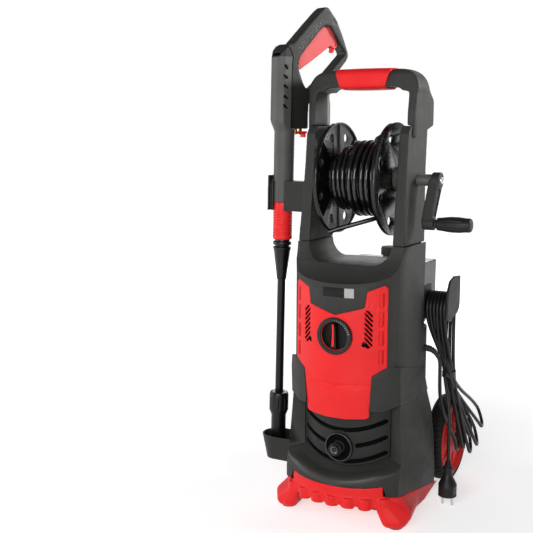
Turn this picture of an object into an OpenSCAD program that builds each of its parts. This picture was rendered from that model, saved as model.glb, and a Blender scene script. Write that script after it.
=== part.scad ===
// Upright electric pressure washer: a wheeled case with a hose reel between two columns,
// a trigger gun with its lance at the left side and the mains lead at the right side.
// Millimetres, +Z up, +X towards the crank, -Y towards the front, origin under the base.

/* [Case] */
// Width of the upper case over its flat sides
body_w = 224; // [216:2:236]
// Distance from the origin to the bowed front face
body_front = 220; // [214:1:226]
// Plan radius of the bowed front
bow_r = 160; // [150:2:180]
// How much wider the foot of the case is, each side
flare = 6; // [4:1:8]
// Wall thickness of the mouldings
wall = 3; // [2.5:0.25:4]
// Distance from the origin to the rear face of the motor case
body_rear = 26; // [20:1:34]
// Height of the joint between the case and the columns
seam_z = 525; // [515:5:540]
// Height of the seat under the reel
seat_z = 489; // [482:1:494]
// Gap between mouldings that meet
part_gap = 0.4; // [0.3:0.1:0.8]

/* [Base] */
// Radius of the bowed skirt of the base
base_bow = 171; // [168:1:176]
// Height of the lower edge of the front apron
apron_z = 40; // [34:1:42]
// Number of rounded lobes under the apron
lobe_count = 7; // [5:2:7]
// Distance between the lobes
lobe_pitch = 31; // [29:1:33]
// Thickness of a rubber foot pad
pad_t = 3.6; // [2:0.5:6]

/* [Front] */
// Width of the red panel at its top
panel_w = 185; // [170:1:190]
// Height of the top corners of the red panel
panel_top = 458; // [450:1:462]
// Height of the bottom edge of the red panel
panel_bottom = 206; // [203:1:212]
// Thickness of the red panel
panel_t = 3; // [2:0.5:4]
// Height of the knob centre
knob_z = 361; // [356:1:366]
// Outer diameter of the knob bezel
bezel_d = 70; // [66:1:76]
// Diameter of the power knob
knob_d = 50; // [46:1:52]
// Width of the lower grille
grille_w = 182; // [178:1:186]
// Depth of the grille pocket behind the bowed front
pocket_depth = 26; // [22:1:32]
// Height of the water inlet
inlet_z = 141; // [136:1:146]
// Outer diameter of the inlet ring
inlet_ring_d = 56; // [50:1:58]

/* [Columns and handle] */
// Clear width between the columns
column_gap = 170; // [166:1:174]
// Height of the joint between the columns and the handle
column_top = 745; // [738:1:752]
// Overall height of the handle
handle_top = 850; // [840:2:870]
// Height of the handle's top bar
bar_h = 33; // [28:1:38]
// Length of the red grip along its lower edge
grip_len = 90; // [80:2:100]

/* [Hose reel] */
// Height of the reel's axis
reel_z = 645; // [640:1:650]
// Distance of the reel's axis in front of the origin
reel_y = 85; // [80:1:90]
// Diameter of the reel's flanges
flange_d = 214; // [200:2:216]
// Distance between the outer faces of the flanges
reel_w = 124; // [116:2:132]
// Diameter of the drum that the hose is wound on
drum_d = 88; // [80:2:96]
// Diameter of the hose
hose_d = 9; // [8:0.5:10]
// Outer diameter of the wound hose
winding_d = 150; // [140:2:160]
// Length of the crank arm between its two axes
crank_len = 82; // [76:1:90]
// Angle of the crank arm forward of straight down
crank_angle = 16; // [0:1:40]
// Diameter of the reel's axle
reel_axle_d = 22; // [18:1:26]

/* [Wheels] */
// Outer diameter of the wheels
wheel_d = 180; // [170:2:190]
// Width of the tyres
tyre_w = 34; // [28:1:36]
// Distance of the wheel axle behind the origin
axle_y = 115; // [110:1:122]
// Diameter of the wheel axle
axle_d = 12; // [10:1:14]

/* [Gun and lance] */
// Distance of the lance's foot from the side of the case
lance_gap = 63; // [58:1:70]
// Distance of the lance in front of the origin
lance_y = 118; // [112:1:124]
// Outward lean of the lance in degrees
lance_tilt = 1.2; // [0:0.2:1.6]
// Direction that the gun's grip points to, in degrees from +X
gun_turn = 66; // [60:1:72]
// Height of the nozzle's mouth
lance_z = 92; // [90:1:96]
// Diameter of the lance tube
tube_d = 16.5; // [14:0.5:18]
// Diameter of the gun's round barrel
barrel_d = 40; // [38:0.5:42]
// Thickness of the gun's grip and guard
gun_t = 28; // [26:1:32]
// Thickness of the trigger
trigger_t = 15; // [12:1:18]
// Running clearance of the gun in its clip
clip_gap = 0.8; // [0.5:0.1:1.2]

/* [Rear] */
// Width of the detergent tank
tank_w = 170; // [160:2:176]
// Distance from the origin to the rear face of the tank
tank_rear = 98; // [92:1:104]
// Height of the tank's top
tank_top = 474; // [468:1:480]
// Height of the tank's bottom
tank_bottom = 352; // [344:1:362]
// Height of the top of the cord hook's arm
hook_z = 418; // [410:1:424]
// Reach of the cord hook from the case
hook_reach = 44; // [40:1:48]

/* [Mains lead] */
// Diameter of the mains lead
lead_d = 7; // [6:0.5:8]

/* [Hidden] */
$fn = 64;

BLACK = [0.13, 0.13, 0.13];
GREY = [0.33, 0.33, 0.33];
RED = [0.85, 0.08, 0.08];
STEEL = [0.75, 0.76, 0.78];
BRASS = [0.72, 0.58, 0.3];
RUBBER = [0.07, 0.07, 0.07];
far = 400;                              // larger than anything that is cut away
slip = 0.1;                             // diametral clearance of a running fit

// Case, derived
hw = body_w / 2;                        // half width of the upper case
low_hw = hw + flare;                    // half width of its foot
lance_x = hw + lance_gap;               // distance of the lance's foot from the middle
bow_y = bow_r - body_front;             // plan centre of the bowed front
gap_hw = column_gap / 2;                // half of the clear width between the columns
skirt_z = 77;                           // lower edge of the skirt in front
skirt_side_z = 62;                      // lower edge of the skirt beside the notch
skirt_rear_z = 25;                      // lower edge of the skirt at the parting line
skirt_notch = 94;                       // half width of the raised part of the skirt's edge
cowl_side_z = 237;                      // lower edge of the cowl at the sides
cowl_mid_z = panel_bottom - 7;          // lower edge of the cowl in the middle
shoulder_z = 306;                       // top of the cowl at the front corner
shoulder_rear_z = 281;                  // top of the cowl at the back
lip_r = 78;                             // radius of the hollow between case and columns
lip_z = seam_z + 10;                    // height of its centre
column_front = 158;                     // column's front face at the seam
lip_y = -column_front - lip_r;
rear_hw = hw - 9;                       // half width of the rear housing
rear_corner = 45;                       // plan radius of its rear corners
upper_rear = 0;                         // rear face behind the upper case
parting = [[12, 0], [12, 60], [-6, 183], [-45, 264], [-56, 412], [-52, seam_z + 20]];
pocket_r = bow_r - pocket_depth;        // radius of the bowed grille
inlet_y = body_front - pocket_depth;    // distance of the grille's middle in front of the origin
sill_z = 105;                           // height of the sill at the middle of the grille
sill_slope = 0.55;                      // fall of the sill towards the front
motor_y = -84;                          // axis of motor and pump
pump_bottom = 40.3;                     // lower face of the pump head

// 2D outlines and prisms -------------------------------------------------------------

// An outline in X and Z, extruded along Y from y0 to y1
module xz(y0, y1) { translate([0, y1, 0]) rotate([90, 0, 0]) linear_extrude(y1 - y0) children(); }

// An outline in Y and Z, extruded along X from x0 to x1
module yz(x0, x1) { translate([x0, 0, 0]) rotate([90, 0, 90]) linear_extrude(x1 - x0) children(); }

// A cylinder along X from x0 to x1, its axis at y and z
module rod_x(x0, x1, y, z, d, d2 = -1) {
    translate([x0, y, z]) rotate([0, 90, 0]) cylinder(h = x1 - x0, d1 = d, d2 = d2 < 0 ? d : d2);
}

// A cylinder along Y from y0 to y1, its axis at x and z
module rod_y(y0, y1, x, z, d, d2 = -1) {
    translate([x, y0, z]) rotate([-90, 0, 0]) cylinder(h = y1 - y0, d1 = d, d2 = d2 < 0 ? d : d2);
}

// Both sides of an outline that is given for the positive side
module both_sides() {
    children();
    mirror([1, 0, 0]) children();
}

// Points of an arc, angles in degrees
function arc(c, r, a0, a1, n = 6) =
    [for (i = [0 : n]) c + r * [cos(a0 + (a1 - a0) * i / n), sin(a0 + (a1 - a0) * i / n)]];

// A rectangle with round corners, centred on x, its lower edge at y
module rounded(w, h, r) {
    translate([-w / 2 + r, 0]) square([w - 2 * r, h]);
    translate([-w / 2, r]) square([w, h - 2 * r]);
    for (x = [-w / 2 + r, w / 2 - r], y = [r, h - r]) translate([x, y]) circle(r);
}

// Case ------------------------------------------------------------------------------

// Radius of the bowed front at each height, for an inset of i
function bow_profile(i) = [
    [0, -1], [bow_r + 12.5 - i, -1], [bow_r + 12.5 - i, 82], [bow_r + 10 - i, 100],
    [bow_r + 7 - i, 130], [bow_r + 2 - i, 190], [bow_r - i, cowl_side_z],
    [bow_r + 2 - i, 283], [bow_r - i, shoulder_z], [bow_r - i, far + 300], [0, far + 300]
];

// Everything behind the bowed front, turned about the plan centre
module bow(i = 0) {
    translate([0, bow_y, 0]) rotate_extrude($fn = 128) polygon(bow_profile(i));
    translate([-far / 2, bow_y, -1]) cube([far, far, 2 * far]);
}

// Front outline of the case
function case_half(i) = [
    [0, -1], [low_hw - i, -1], [low_hw - i, 130], [hw + 3 - i, 214], [hw + 1.5 - i, cowl_side_z],
    [hw + 1.5 - i, shoulder_z + 30], [hw + 1.5 - i, far + 300], [0, far + 300]
];

// What the narrower, softly rounded upper case lacks above the cowl's sloping shoulder
module shoulder_cut(i = 0) {
    plan = [
        [80 - i, -199 + i], [97 - i, -187 + i], [106.5 - i, -170 + i], [hw - i, -146], [hw - i, 100],
        [far, 100], [far, -far], [80 - i, -far]
    ];
    intersection() {
        both_sides() linear_extrude(2 * far) polygon(plan);
        yz(-far, far) polygon([
            [-far, shoulder_z + 40], [-205, shoulder_z + 4], [-62, shoulder_rear_z], [far, shoulder_rear_z],
            [far, 2 * far], [-far, 2 * far]
        ]);
    }
}

// The hollow that leads from the bowed front up into the columns
module lip_cut(i = 0) {
    yz(-far, far) {
        translate([lip_y, lip_z]) circle(lip_r + i, $fn = 128);
        polygon([
            [-far, lip_z], [-column_front + i, lip_z], [-column_front + 24 + i, column_top - 8],
            [-column_front + 24 + i, 2 * far], [-far, 2 * far]
        ]);
    }
}

// The opening between the columns, over the seat
module reel_opening(i = 0) {
    xz(-far, far) translate([0, seat_z - i]) rounded(column_gap + 2 * i, far, 36 + i);
}

// The solid form of the case, moved in by i
module case_form(i = 0) {
    difference() {
        intersection() {
            bow(i);
            both_sides() xz(-far, far) polygon(case_half(i));
        }
        shoulder_cut(i);
        lip_cut(i);
        reel_opening(i);
        translate([-far, -far, seam_z + (i > 0 ? 1 : 0)]) cube(2 * far);
    }
}

// The recess of the grille, larger by i for the walls around it
module grille_pocket(i = 0) {
    side = grille_w / 2 + i;
    corner = low_hw + 1 + i;
    intersection() {
        translate([0, bow_y, 0]) difference() {
            cylinder(h = far, r = far);
            cylinder(h = far, r = pocket_r - 3 - i, $fn = 128);
        }
        // The side walls slant out to the corners of the case
        linear_extrude(far) polygon([
            [-side, -140], [-side, -159.5 + i], [-corner, -174 + i], [-corner, -far],
            [corner, -far], [corner, -174 + i], [side, -159.5 + i], [side, -140]
        ]);
        xz(-far, bow_y) polygon([
            [-corner, 0], [-corner, cowl_side_z - 1 + i], [-side, 222 + i], [side, 222 + i],
            [corner, cowl_side_z - 1 + i], [corner, 0]
        ]);
        above_sill(-i);
    }
}

// Everything above the sill, which slopes down from the grille to the skirt
module above_sill(i = 0) {
    rise = i / cos(atan(sill_slope));
    yz(-far, far) polygon([
        [-far, sill_z + sill_slope * (inlet_y - far) + rise], [0, sill_z + sill_slope * inlet_y + rise],
        [0, far], [-far, far]
    ]);
}

// Three long slots that follow the curve of the grille's lower edge, larger by i
module grille_slots(i = 0) {
    mid_r = 174;
    reach = asin((grille_w / 2 - 9) / mid_r);
    half = 4 + i;
    difference() {
        for (z = [113, 143, 174.5]) xz(-far, -100) translate([0, z + mid_r]) {
            intersection() {
                difference() {
                    circle(mid_r + half, $fn = 128);
                    circle(mid_r - half, $fn = 128);
                }
                polygon([[0, 0], far * [-sin(reach), -cos(reach)], far * [sin(reach), -cos(reach)]]);
            }
            for (a = [-reach, reach]) rotate(a) translate([0, -mid_r]) circle(half);
        }
        rod_y(-far, 0, 0, inlet_z, inlet_ring_d + 6);
    }
}

// The notch in the skirt, its sloping side edges and the cowl's lower edge
module skirt_cut() {
    xz(-far, 0) polygon([
        [-skirt_notch - 6, -2], [-skirt_notch - 6, skirt_side_z], [-skirt_notch, skirt_z + 5],
        [-60, skirt_z + 1], [0, skirt_z], [60, skirt_z + 1], [skirt_notch, skirt_z + 5],
        [skirt_notch + 6, skirt_side_z], [skirt_notch + 6, -2]
    ]);
    yz(-far, far) polygon([
        [-far, -2], [-far, skirt_side_z + 14], [-196, skirt_side_z], [14, skirt_rear_z], [14, -2]
    ]);
}

// A shallow step under the cowl, round the lower case
module cowl_step() {
    step = 2.5;
    difference() {
        xz(-far, far) polygon([
            [-far, -1], [-far, cowl_side_z], [-100, cowl_side_z - 8], [-64, panel_bottom], [0, cowl_mid_z],
            [64, panel_bottom], [100, cowl_side_z - 8], [far, cowl_side_z], [far, -1]
        ]);
        intersection() {
            translate([0, bow_y, 0]) rotate_extrude($fn = 128) polygon([for (p = bow_profile(0))
                [p[0] - (p[1] > 140 && p[0] > 0 ? step : 0), p[1]]]);
            both_sides() xz(-far, far) polygon([
                [0, -1], [low_hw, -1], [low_hw, 130], [hw + 3 - step, 214], [hw - 1, cowl_side_z + 10],
                [0, cowl_side_z + 10]
            ]);
        }
        intersection() {
            translate([-far, bow_y, -1]) cube([2 * far, far, far]);
            both_sides() xz(-far, far) polygon([
                [0, -1], [low_hw, -1], [low_hw, 130], [hw + 3 - step, 214], [hw - 1, cowl_side_z + 10],
                [0, cowl_side_z + 10]
            ]);
        }
    }
}

// Front outline of the red panel, moved in by i
module panel_outline(i = 0) {
    w = panel_w / 2 - i;
    polygon([
        [-w, panel_top - 6 - i], [-w + 5, panel_top - i], [-59 - i, panel_top - 12 - i], [-55 - i, 416 - i],
        [0, 400 - i], [55 + i, 416 - i], [59 + i, panel_top - 12 - i], [w - 5, panel_top - i],
        [w, panel_top - 6 - i], [w, 306 + i], [69 - i, 289 + i], [63 - i, panel_bottom + 3 + i],
        [57, panel_bottom + i], [20, panel_bottom - 3 + i], [-20, panel_bottom - 3 + i],
        [-57, panel_bottom + i], [-63 + i, panel_bottom + 3 + i], [-69 + i, 289 + i], [-w, 306 + i]
    ]);
}

// The bowed slab between two radii, leaning back under its crease
module panel_slab(r0, r1) {
    crease = 281;
    translate([0, bow_y, 0]) rotate_extrude($fn = 128) polygon([
        [r0 - 5, 190], [r1 - 5, 190], [r1 - 4, panel_bottom], [r1 + 1, crease], [r1 + 1, 340],
        [r1, 470], [r0, 470], [r0 + 1, 340], [r0 + 1, crease], [r0 - 4, panel_bottom]
    ]);
}

module front_housing() {
    core_r = 10;
    color(BLACK) difference() {
        intersection() {
            case_form();
            yz(-far, far) polygon(concat([[-far, -1]], [for (p = parting) p], [[-far, seam_z + 20]]));
        }
        difference() {
            case_form(wall);
            grille_pocket(wall);
            // The floor behind the panel recess
            intersection() {
                xz(-far, bow_y) panel_outline(-4);
                difference() {
                    translate([0, bow_y, 0]) cylinder(h = far + 100, r = bow_r - wall + 1);
                    panel_slab(core_r, bow_r - panel_t - 2 * wall);
                    translate([0, bow_y, 0]) cylinder(h = panel_bottom + 10, r = bow_r - 15 - wall);
                    translate([0, bow_y, 0]) cylinder(h = far + 100, r = bow_r - panel_t - 2 * wall - 1);
                }
            }
        }
        grille_pocket();
        grille_slots(0.5);
        skirt_cut();
        cowl_step();
        // Recess of the red panel
        intersection() {
            xz(-far, bow_y) panel_outline(-part_gap);
            panel_slab(bow_r - panel_t - part_gap, bow_r + 30);
        }
        rod_y(-far, -knob_back + 3.9, 0, knob_z, bezel_d - 6);
        rod_y(-far, -120, 0, knob_z, 16);
        rod_y(-far, -120, 0, inlet_z, 24);
        // Vents behind the slots of the panel
        both_sides() xz(-far, -150) translate([56, 338]) square([15, 76]);
    }
}

tray_y1 = 34;                           // rear edge of the base tray
base_z = 4;                             // underside of the tray, clear of the floor
arm_x0 = 66;                            // the arms of the wheel axle
arm_x1 = 78;

// The rear housing in plan
module rear_plan(i, y1) {
    r = rear_corner - i;
    polygon(concat(
        [[-rear_hw + i, -80], [rear_hw - i, -80]],
        arc([rear_hw - rear_corner, y1 - rear_corner], r, 0, 90),
        arc([-rear_hw + rear_corner, y1 - rear_corner], r, 90, 180)
    ));
}

// Solid form of the rear housing, moved in by i
module rear_form(i = 0) {
    translate([0, 0, skirt_rear_z + 5 - 2 * i])
        linear_extrude(tank_bottom - skirt_rear_z - 5 + i) rear_plan(i, body_rear);
    // Behind the upper case
    translate([0, 0, tank_bottom - 20]) linear_extrude(seat_z - 6 - tank_bottom + 20 - i) rear_plan(i, upper_rear);
    // Over the wheel axle
    yz(-rear_hw + 22 + i, rear_hw - 22 - i) polygon([
        [-80, 30 - 2 * i], [72 - i, 30 - 2 * i], [72 - i, 120 - i], [body_rear - 10, 190 - i], [-80, 190 - i]
    ]);
}

// An arm that carries the wheel axle, seen from the side, larger by i
module arm_outline(i = 0) {
    polygon([
        [-60, base_z - i], [tray_y1 + 6, base_z - i], [axle_y + 12 + i, 76 - i], [axle_y + 6, 104 + i],
        [axle_y - 6, 105 + i], [40 - i, 84 + i], [-60, 20 + i]
    ]);
    translate([axle_y, wheel_d / 2]) circle(15 + i);
}

module rear_housing() {
    color(BLACK) difference() {
        rear_form();
        rear_form(wall);
        // Nothing in front of the parting line
        yz(-far, far) polygon(concat(
            [[-far, -1]], [for (p = parting) [p[0] + part_gap, p[1]]], [[-far, seam_z + 20]]
        ));
        // Air slots across the back
        for (z = [210 : 14 : 322]) xz(0, far) translate([-40, z]) square([80, 5]);
        for (x = screw_x, z = screw_z) rod_y(0, far, x, z, screw_d);
        // Bore of the mains lead
        rod_x(60, far, gland_y, gland_z, gland_d + slip);
        // Slots for the two arms of the wheel axle
        both_sides() yz(arm_x0 - part_gap, arm_x1 + part_gap) arm_outline(part_gap);
    }
}

lobe_r = 13;                            // radius of a lobe in plan
foot_x = 113;                           // middle of a front foot
foot_y = 185;
toe_r = 16;

module base_tray() {
    floor_z = base_z + 4;
    color(RED) {
        difference() {
            intersection() {
                union() {
                    translate([0, bow_y, base_z]) cylinder(h = 116, r = base_bow, $fn = 128);
                    translate([-far, bow_y, base_z]) cube([2 * far, tray_y1 - bow_y, 116]);
                }
                translate([-low_hw + 1, -far, 0]) cube([2 * (low_hw - 1), far + tray_y1, 120]);
            }
            // Upper edge: inside the skirt of the case
            difference() {
                translate([-far, -far, skirt_rear_z - 8]) cube([2 * far, 2 * far, far]);
                yz(-far, far) polygon([
                    [-far, -1], [-far, skirt_side_z + 13.5], [-196, skirt_side_z - 1],
                    [14, skirt_rear_z - 1], [tray_y1 + 2, skirt_rear_z - 6], [tray_y1 + 2, -1]
                ]);
                xz(-far, -150) polygon([
                    [-skirt_notch, 0], [-skirt_notch, skirt_z + 4], [-60, skirt_z], [0, skirt_z - 1],
                    [60, skirt_z], [skirt_notch, skirt_z + 4], [skirt_notch, 0]
                ]);
            }
            // Inside
            intersection() {
                union() {
                    translate([0, bow_y, floor_z]) cylinder(h = 200, r = base_bow - wall, $fn = 128);
                    translate([-far, bow_y, floor_z]) cube([2 * far, tray_y1 - wall - bow_y, 200]);
                }
                translate([-low_hw + 1 + wall, -far, floor_z])
                    cube([2 * (low_hw - 1 - wall), far + tray_y1 - wall, 200]);
                yz(-far, far) polygon([
                    [-far, apron_z + 4], [-160, apron_z + 4], [-132, floor_z], [far, floor_z], [far, 200], [-far, 200]
                ]);
            }
            // The front apron and the sides stay clear of the floor
            yz(-far, far) polygon([[-far, -1], [-far, apron_z], [-165, apron_z], [-136, -1]]);
            both_sides() yz(88, far) polygon([[-64, -1], [-44, 3], [tray_y1 + 1, 19], [tray_y1 + 1, -1]]);
        }
        // Rounded lobes under the apron
        intersection() {
            for (i = [0 : lobe_count - 1]) {
                x = (i - (lobe_count - 1) / 2) * lobe_pitch;
                y = bow_y - sqrt(base_bow * base_bow - x * x) + lobe_r - 6;
                translate([x, y, apron_z - 5]) cylinder(h = 30, r = lobe_r);
            }
            yz(-far, far) polygon([
                [-far, apron_z + 6], [-232, apron_z - 3], [-222, apron_z - 5], [-165, apron_z - 5],
                [-165, apron_z + 20], [-far, apron_z + 8]
            ]);
            difference() {
                cylinder(h = far, r = far);
                translate([0, bow_y, 0]) cylinder(h = far, r = base_bow - wall - 4, $fn = 128);
            }
        }
        // Round toes at the front corners, reaching out under the skirt
        both_sides() difference() {
            hull() {
                for (p = [[-8, -9], [6, -5], [7, 4]])
                    translate([foot_x + p[0], -foot_y + p[1], toe_r]) sphere(toe_r, $fn = 32);
                for (p = [[-17, -8], [16, 6], [13, 22]])
                    translate([foot_x + p[0], -foot_y + p[1], 25]) sphere(13, $fn = 32);
                translate([84, -196, 50]) sphere(14, $fn = 32);
                translate([101, -164, 58]) sphere(12, $fn = 32);
                translate([108.5, -70, 15]) sphere(8, $fn = 32);
            }
            translate([0, -far, -far]) cube([far, far, far + pad_t]);
            intersection() {
                translate([0, bow_y, -1]) cylinder(h = 200, r = base_bow - wall, $fn = 128);
                translate([-far, -far, -1]) cube([far + low_hw - 1 - wall, 2 * far, 200]);
                translate([-far, -far, -1]) cube([far + foot_x - 24, 2 * far, 200]);
            }
            // Clear of the skirt
            difference() {
                translate([0, -far, skirt_rear_z]) cube([low_hw + 4, far, 100]);
                yz(-1, far) polygon([
                    [-far, -1], [-far, skirt_side_z + 13], [-196, skirt_side_z - 1], [14, skirt_rear_z - 1], [14, -1]
                ]);
            }
        }
        // Arms that carry the wheel axle
        both_sides() difference() {
            yz(arm_x0, arm_x1) arm_outline();
            rod_x(arm_x0 - 1, arm_x1 + 1, axle_y, wheel_d / 2, axle_d + slip);
        }
        // Posts under the pump
        for (x = [-34, 34], y = [motor_y - 34, motor_y + 34])
            translate([x, y, base_z + 3]) cylinder(h = pump_bottom - base_z - 3.3, d = 16);
    }
}

module foot_pads() {
    color(RUBBER) both_sides() translate([foot_x, -foot_y, 0]) cylinder(h = pad_t, r = 13);
}

// Front --------------------------------------------------------------------------------

module front_panel() {
    vent_x = 62;
    color(RED) difference() {
        intersection() {
            xz(-far, bow_y) panel_outline();
            panel_slab(bow_r - panel_t, bow_r);
        }
        rod_y(-far, -120, 0, knob_z, bezel_d - 6);
        // Slanted vents beside the knob
        both_sides() intersection() {
            for (i = [0 : 7]) xz(-far, -150)
                translate([vent_x, 345 + 9 * i]) rotate(-48) square([24, 3.6], center = true);
            xz(-far, -150) translate([vent_x - 7, 342]) square([14, 70]);
        }
        // Shallow recesses along both sides
        both_sides() intersection() {
            for (i = [0 : 3]) xz(-far, -150) translate([79.5, 312 + 35 * i]) square([8.5, 27]);
            translate([0, bow_y, 0]) difference() {
                cylinder(h = far + 100, r = far);
                cylinder(h = far + 100, r = bow_r - 1.2, $fn = 128);
            }
        }
    }
}

module badge_plate() {
    badge_r = bow_r + 0.1;
    color([0.1, 0.1, 0.1]) intersection() {
        xz(-far, -150) translate([-26, 434]) square([62, 17]);
        translate([0, bow_y, 0]) difference() {
            cylinder(h = far + 100, r = badge_r + 1, $fn = 128);
            cylinder(h = far + 100, r = badge_r, $fn = 128);
        }
    }
}

bezel_front = body_front + 6;           // front rim of the bezel
knob_back = body_front - 9;             // back face of the knob

module knob_bezel() {
    color([0.2, 0.2, 0.2]) difference() {
        union() {
            difference() {
                rod_y(-bezel_front + 2, -body_front + 6, 0, knob_z, bezel_d);
                translate([0, bow_y, 0]) cylinder(h = far + 100, r = bow_r + 1.3, $fn = 128);
            }
            rod_y(-bezel_front, -bezel_front + 2, 0, knob_z, bezel_d - 4, bezel_d);
            rod_y(-body_front - 2, -knob_back + 3.5, 0, knob_z, bezel_d - 7);
        }
        rod_y(-bezel_front - 1, -knob_back + 1, 0, knob_z, knob_d + 5);
        rod_y(-far, 0, 0, knob_z, 12 + slip);
    }
}

module knob_grip_outline() {
    // Finger bar of the knob, tapering to its pointer end
    polygon([[-6.5, -knob_d / 2 + 2], [6.5, -knob_d / 2 + 2], [4.5, knob_d / 2 - 2], [-4.5, knob_d / 2 - 2]]);
}

module power_knob() {
    color(BLACK) difference() {
        union() {
            rod_y(-knob_back - 6, -knob_back + 0.6, 0, knob_z, knob_d);
            translate([0, 0, knob_z]) xz(-bezel_front - 2, -knob_back) knob_grip_outline();
            rod_y(-knob_back, -172, 0, knob_z, 12);
        }
        translate([0, 0, knob_z]) xz(-bezel_front - 3, -bezel_front) pointer_outline(0.05);
    }
}

module pointer_outline(i) {
    polygon([[-2.6 - i, -knob_d / 2 + 6 - i], [2.6 + i, -knob_d / 2 + 6 - i], [1.6 + i, knob_d / 2 - 2.2 + i],
        [-1.6 - i, knob_d / 2 - 2.2 + i]]);
}

module knob_pointer() {
    color(RED) translate([0, 0, knob_z]) xz(-bezel_front - 2.3, -bezel_front) pointer_outline(0);
}

module lower_grille() {
    side = grille_w / 2 - part_gap;
    color(BLACK) difference() {
        intersection() {
            xz(-far, bow_y) polygon([[-side, 221], [-side + 3, 0], [side - 3, 0], [side, 221]]);
            above_sill(part_gap);
            translate([0, bow_y, 0]) difference() {
                cylinder(h = far, r = pocket_r, $fn = 128);
                cylinder(h = far, r = pocket_r - 3 + part_gap, $fn = 128);
            }
        }
        grille_slots();
        rod_y(-far, 0, 0, inlet_z, inlet_ring_d - 8);
    }
}

module water_inlet() {
    color(BLACK) difference() {
        union() {
            rod_y(-inlet_y - 5, -inlet_y - 0.3, 0, inlet_z, inlet_ring_d);
            rod_y(-inlet_y - 1, -inlet_y + 3, 0, inlet_z, inlet_ring_d - 8.2);
            rod_y(-inlet_y - 28, motor_y - pump_d / 2 - 0.3, 0, inlet_z, 21);
            rod_y(-inlet_y - 20, -inlet_y - 12, 0, inlet_z, 25);
        }
        difference() {
            rod_y(-inlet_y - 6, -inlet_y - 1, 0, inlet_z, inlet_ring_d - 5);
            rod_y(-inlet_y - 30, 0, 0, inlet_z, 25.2);
        }
        rod_y(-inlet_y - 30, 0, 0, inlet_z, 14);
    }
}

module inlet_filter() {
    color(STEEL) difference() {
        rod_y(-inlet_y - 25, -inlet_y + 5, 0, inlet_z, 13.8);
        rod_y(-inlet_y - 26, -inlet_y + 3, 0, inlet_z, 11.8);
    }
}

// Columns and handle -------------------------------------------------------------------

// Outline of the right column from the front, moved in by i
module column_outline(i = 0) {
    polygon([
        [gap_hw + i, seam_z - 2], [hw - 3 - i, seam_z - 2], [hw - 6 - i, 613], [hw - 7.5 - i, 672],
        [hw - 7.5 - i, column_top + 2], [gap_hw + i, column_top + 2]
    ]);
}

// Side outline of the columns, moved in by i
module column_side(i = 0) {
    polygon([
        [-column_front + i, seam_z - 2], [-column_front + 24 + i, column_top - 14], [-column_front + 37 + i, column_top + 2],
        [-36 - i, column_top + 2], [-52 - i, seam_z - 2]
    ]);
}

module right_column_solid() {
    difference() {
        intersection() {
            xz(-far, far) column_outline();
            yz(0, far) column_side();
            translate([0, -far, seam_z + part_gap]) cube([far, 2 * far, column_top - seam_z - part_gap]);
        }
        intersection() {
            xz(-far, far) column_outline(wall);
            yz(0, far) column_side(wall);
            translate([0, -far, seam_z - 1]) cube([far, 2 * far, column_top - seam_z - wall]);
        }
        rod_x(0, far, -reel_y, reel_z, reel_axle_d + slip);
    }
}

module right_column() { color(BLACK) right_column_solid(); }

module left_column() { color(BLACK) mirror([1, 0, 0]) right_column_solid(); }

leg_out = hw + 1;                       // outer face of the handle's legs
bar_z = handle_top - bar_h;             // underside of the handle's bar

// Front outline of the handle
module bow_outline(i = 0) {
    difference() {
        polygon(concat(
            [[-leg_out + i, column_top - 30], [leg_out - i, column_top - 30]],
            arc([leg_out - 38, handle_top - 38], 38 - i, 0, 90),
            arc([-leg_out + 38, handle_top - 38], 38 - i, 90, 180)
        ));
        polygon(concat(
            [[-gap_hw - 1 - i, column_top - 40], [gap_hw + 1 + i, column_top - 40]],
            arc([gap_hw + 1 - 24, bar_z - 24], 24 + i, 0, 90),
            arc([-gap_hw - 1 + 24, bar_z - 24], 24 + i, 90, 180)
        ));
    }
}

// Side outline of the handle
module handle_side(i = 0) {
    polygon([
        [-column_front + 37 + i, column_top], [-column_front + 38 + i, column_top + 28],
        [-111 + i, bar_z], [-107 + i, handle_top - 8 - i], [-100 + i, handle_top - i],
        [-66 - i, handle_top - i], [-56 - i, handle_top - 8 - i], [-50 - i, bar_z - 4],
        [-20 - i, column_top + 45], [-18 - i, column_top]
    ]);
}

module handle_bow() {
    color(BLACK) difference() {
        union() {
            intersection() {
                xz(-far, far) bow_outline();
                yz(-far, far) handle_side();
                translate([-far, -far, column_top + part_gap]) cube(2 * far);
            }
            // Cheeks that reach down over the columns
            both_sides() yz(hw - 7.5 + part_gap, leg_out) polygon([
                [-column_front + 37, column_top + 1], [-column_front + 37, column_top - 23],
                [-column_front + 45, column_top - 23], [-20, column_top + 1]
            ]);
        }
        // The legs are blades that slant outwards to the rear
        both_sides() translate([0, 0, column_top - 60]) linear_extrude(bar_z - column_top + 52) {
            polygon([[-1, -far], [94, -far], [94, -111], [gap_hw, -84], [108, -22], [108, 1], [-1, 1]]);
            polygon([[107, -far], [107, -119], [111, -113], [113, -27], [108, -22], [108, 1], [far, 1], [far, -far]]);
        }
    }
}

module handle_grip() {
    skin = 1.6;
    color(RED) difference() {
        intersection() {
            xz(-far, 0) polygon([
                [-grip_len / 2, bar_z - 3], [grip_len / 2, bar_z - 3], [grip_len / 2 + 16, handle_top + 3],
                [-grip_len / 2 - 16, handle_top + 3]
            ]);
            yz(-far, far) polygon([
                [-111 - skin, bar_z - skin], [-107 - skin, handle_top - 8], [-100, handle_top + skin],
                [-66, handle_top + skin], [-56 + skin, handle_top - 8], [-50 + skin, bar_z - skin]
            ]);
        }
        yz(-far, far) polygon([
            [-111, bar_z], [-107, handle_top - 8], [-100, handle_top], [-66, handle_top],
            [-56, handle_top - 8], [-50 + 1.5, bar_z]
        ]);
    }
}

// Hose reel ----------------------------------------------------------------------------

module on_reel() { translate([0, -reel_y, reel_z]) rotate([0, 90, 0]) children(); }

flange_t = 3;

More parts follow.
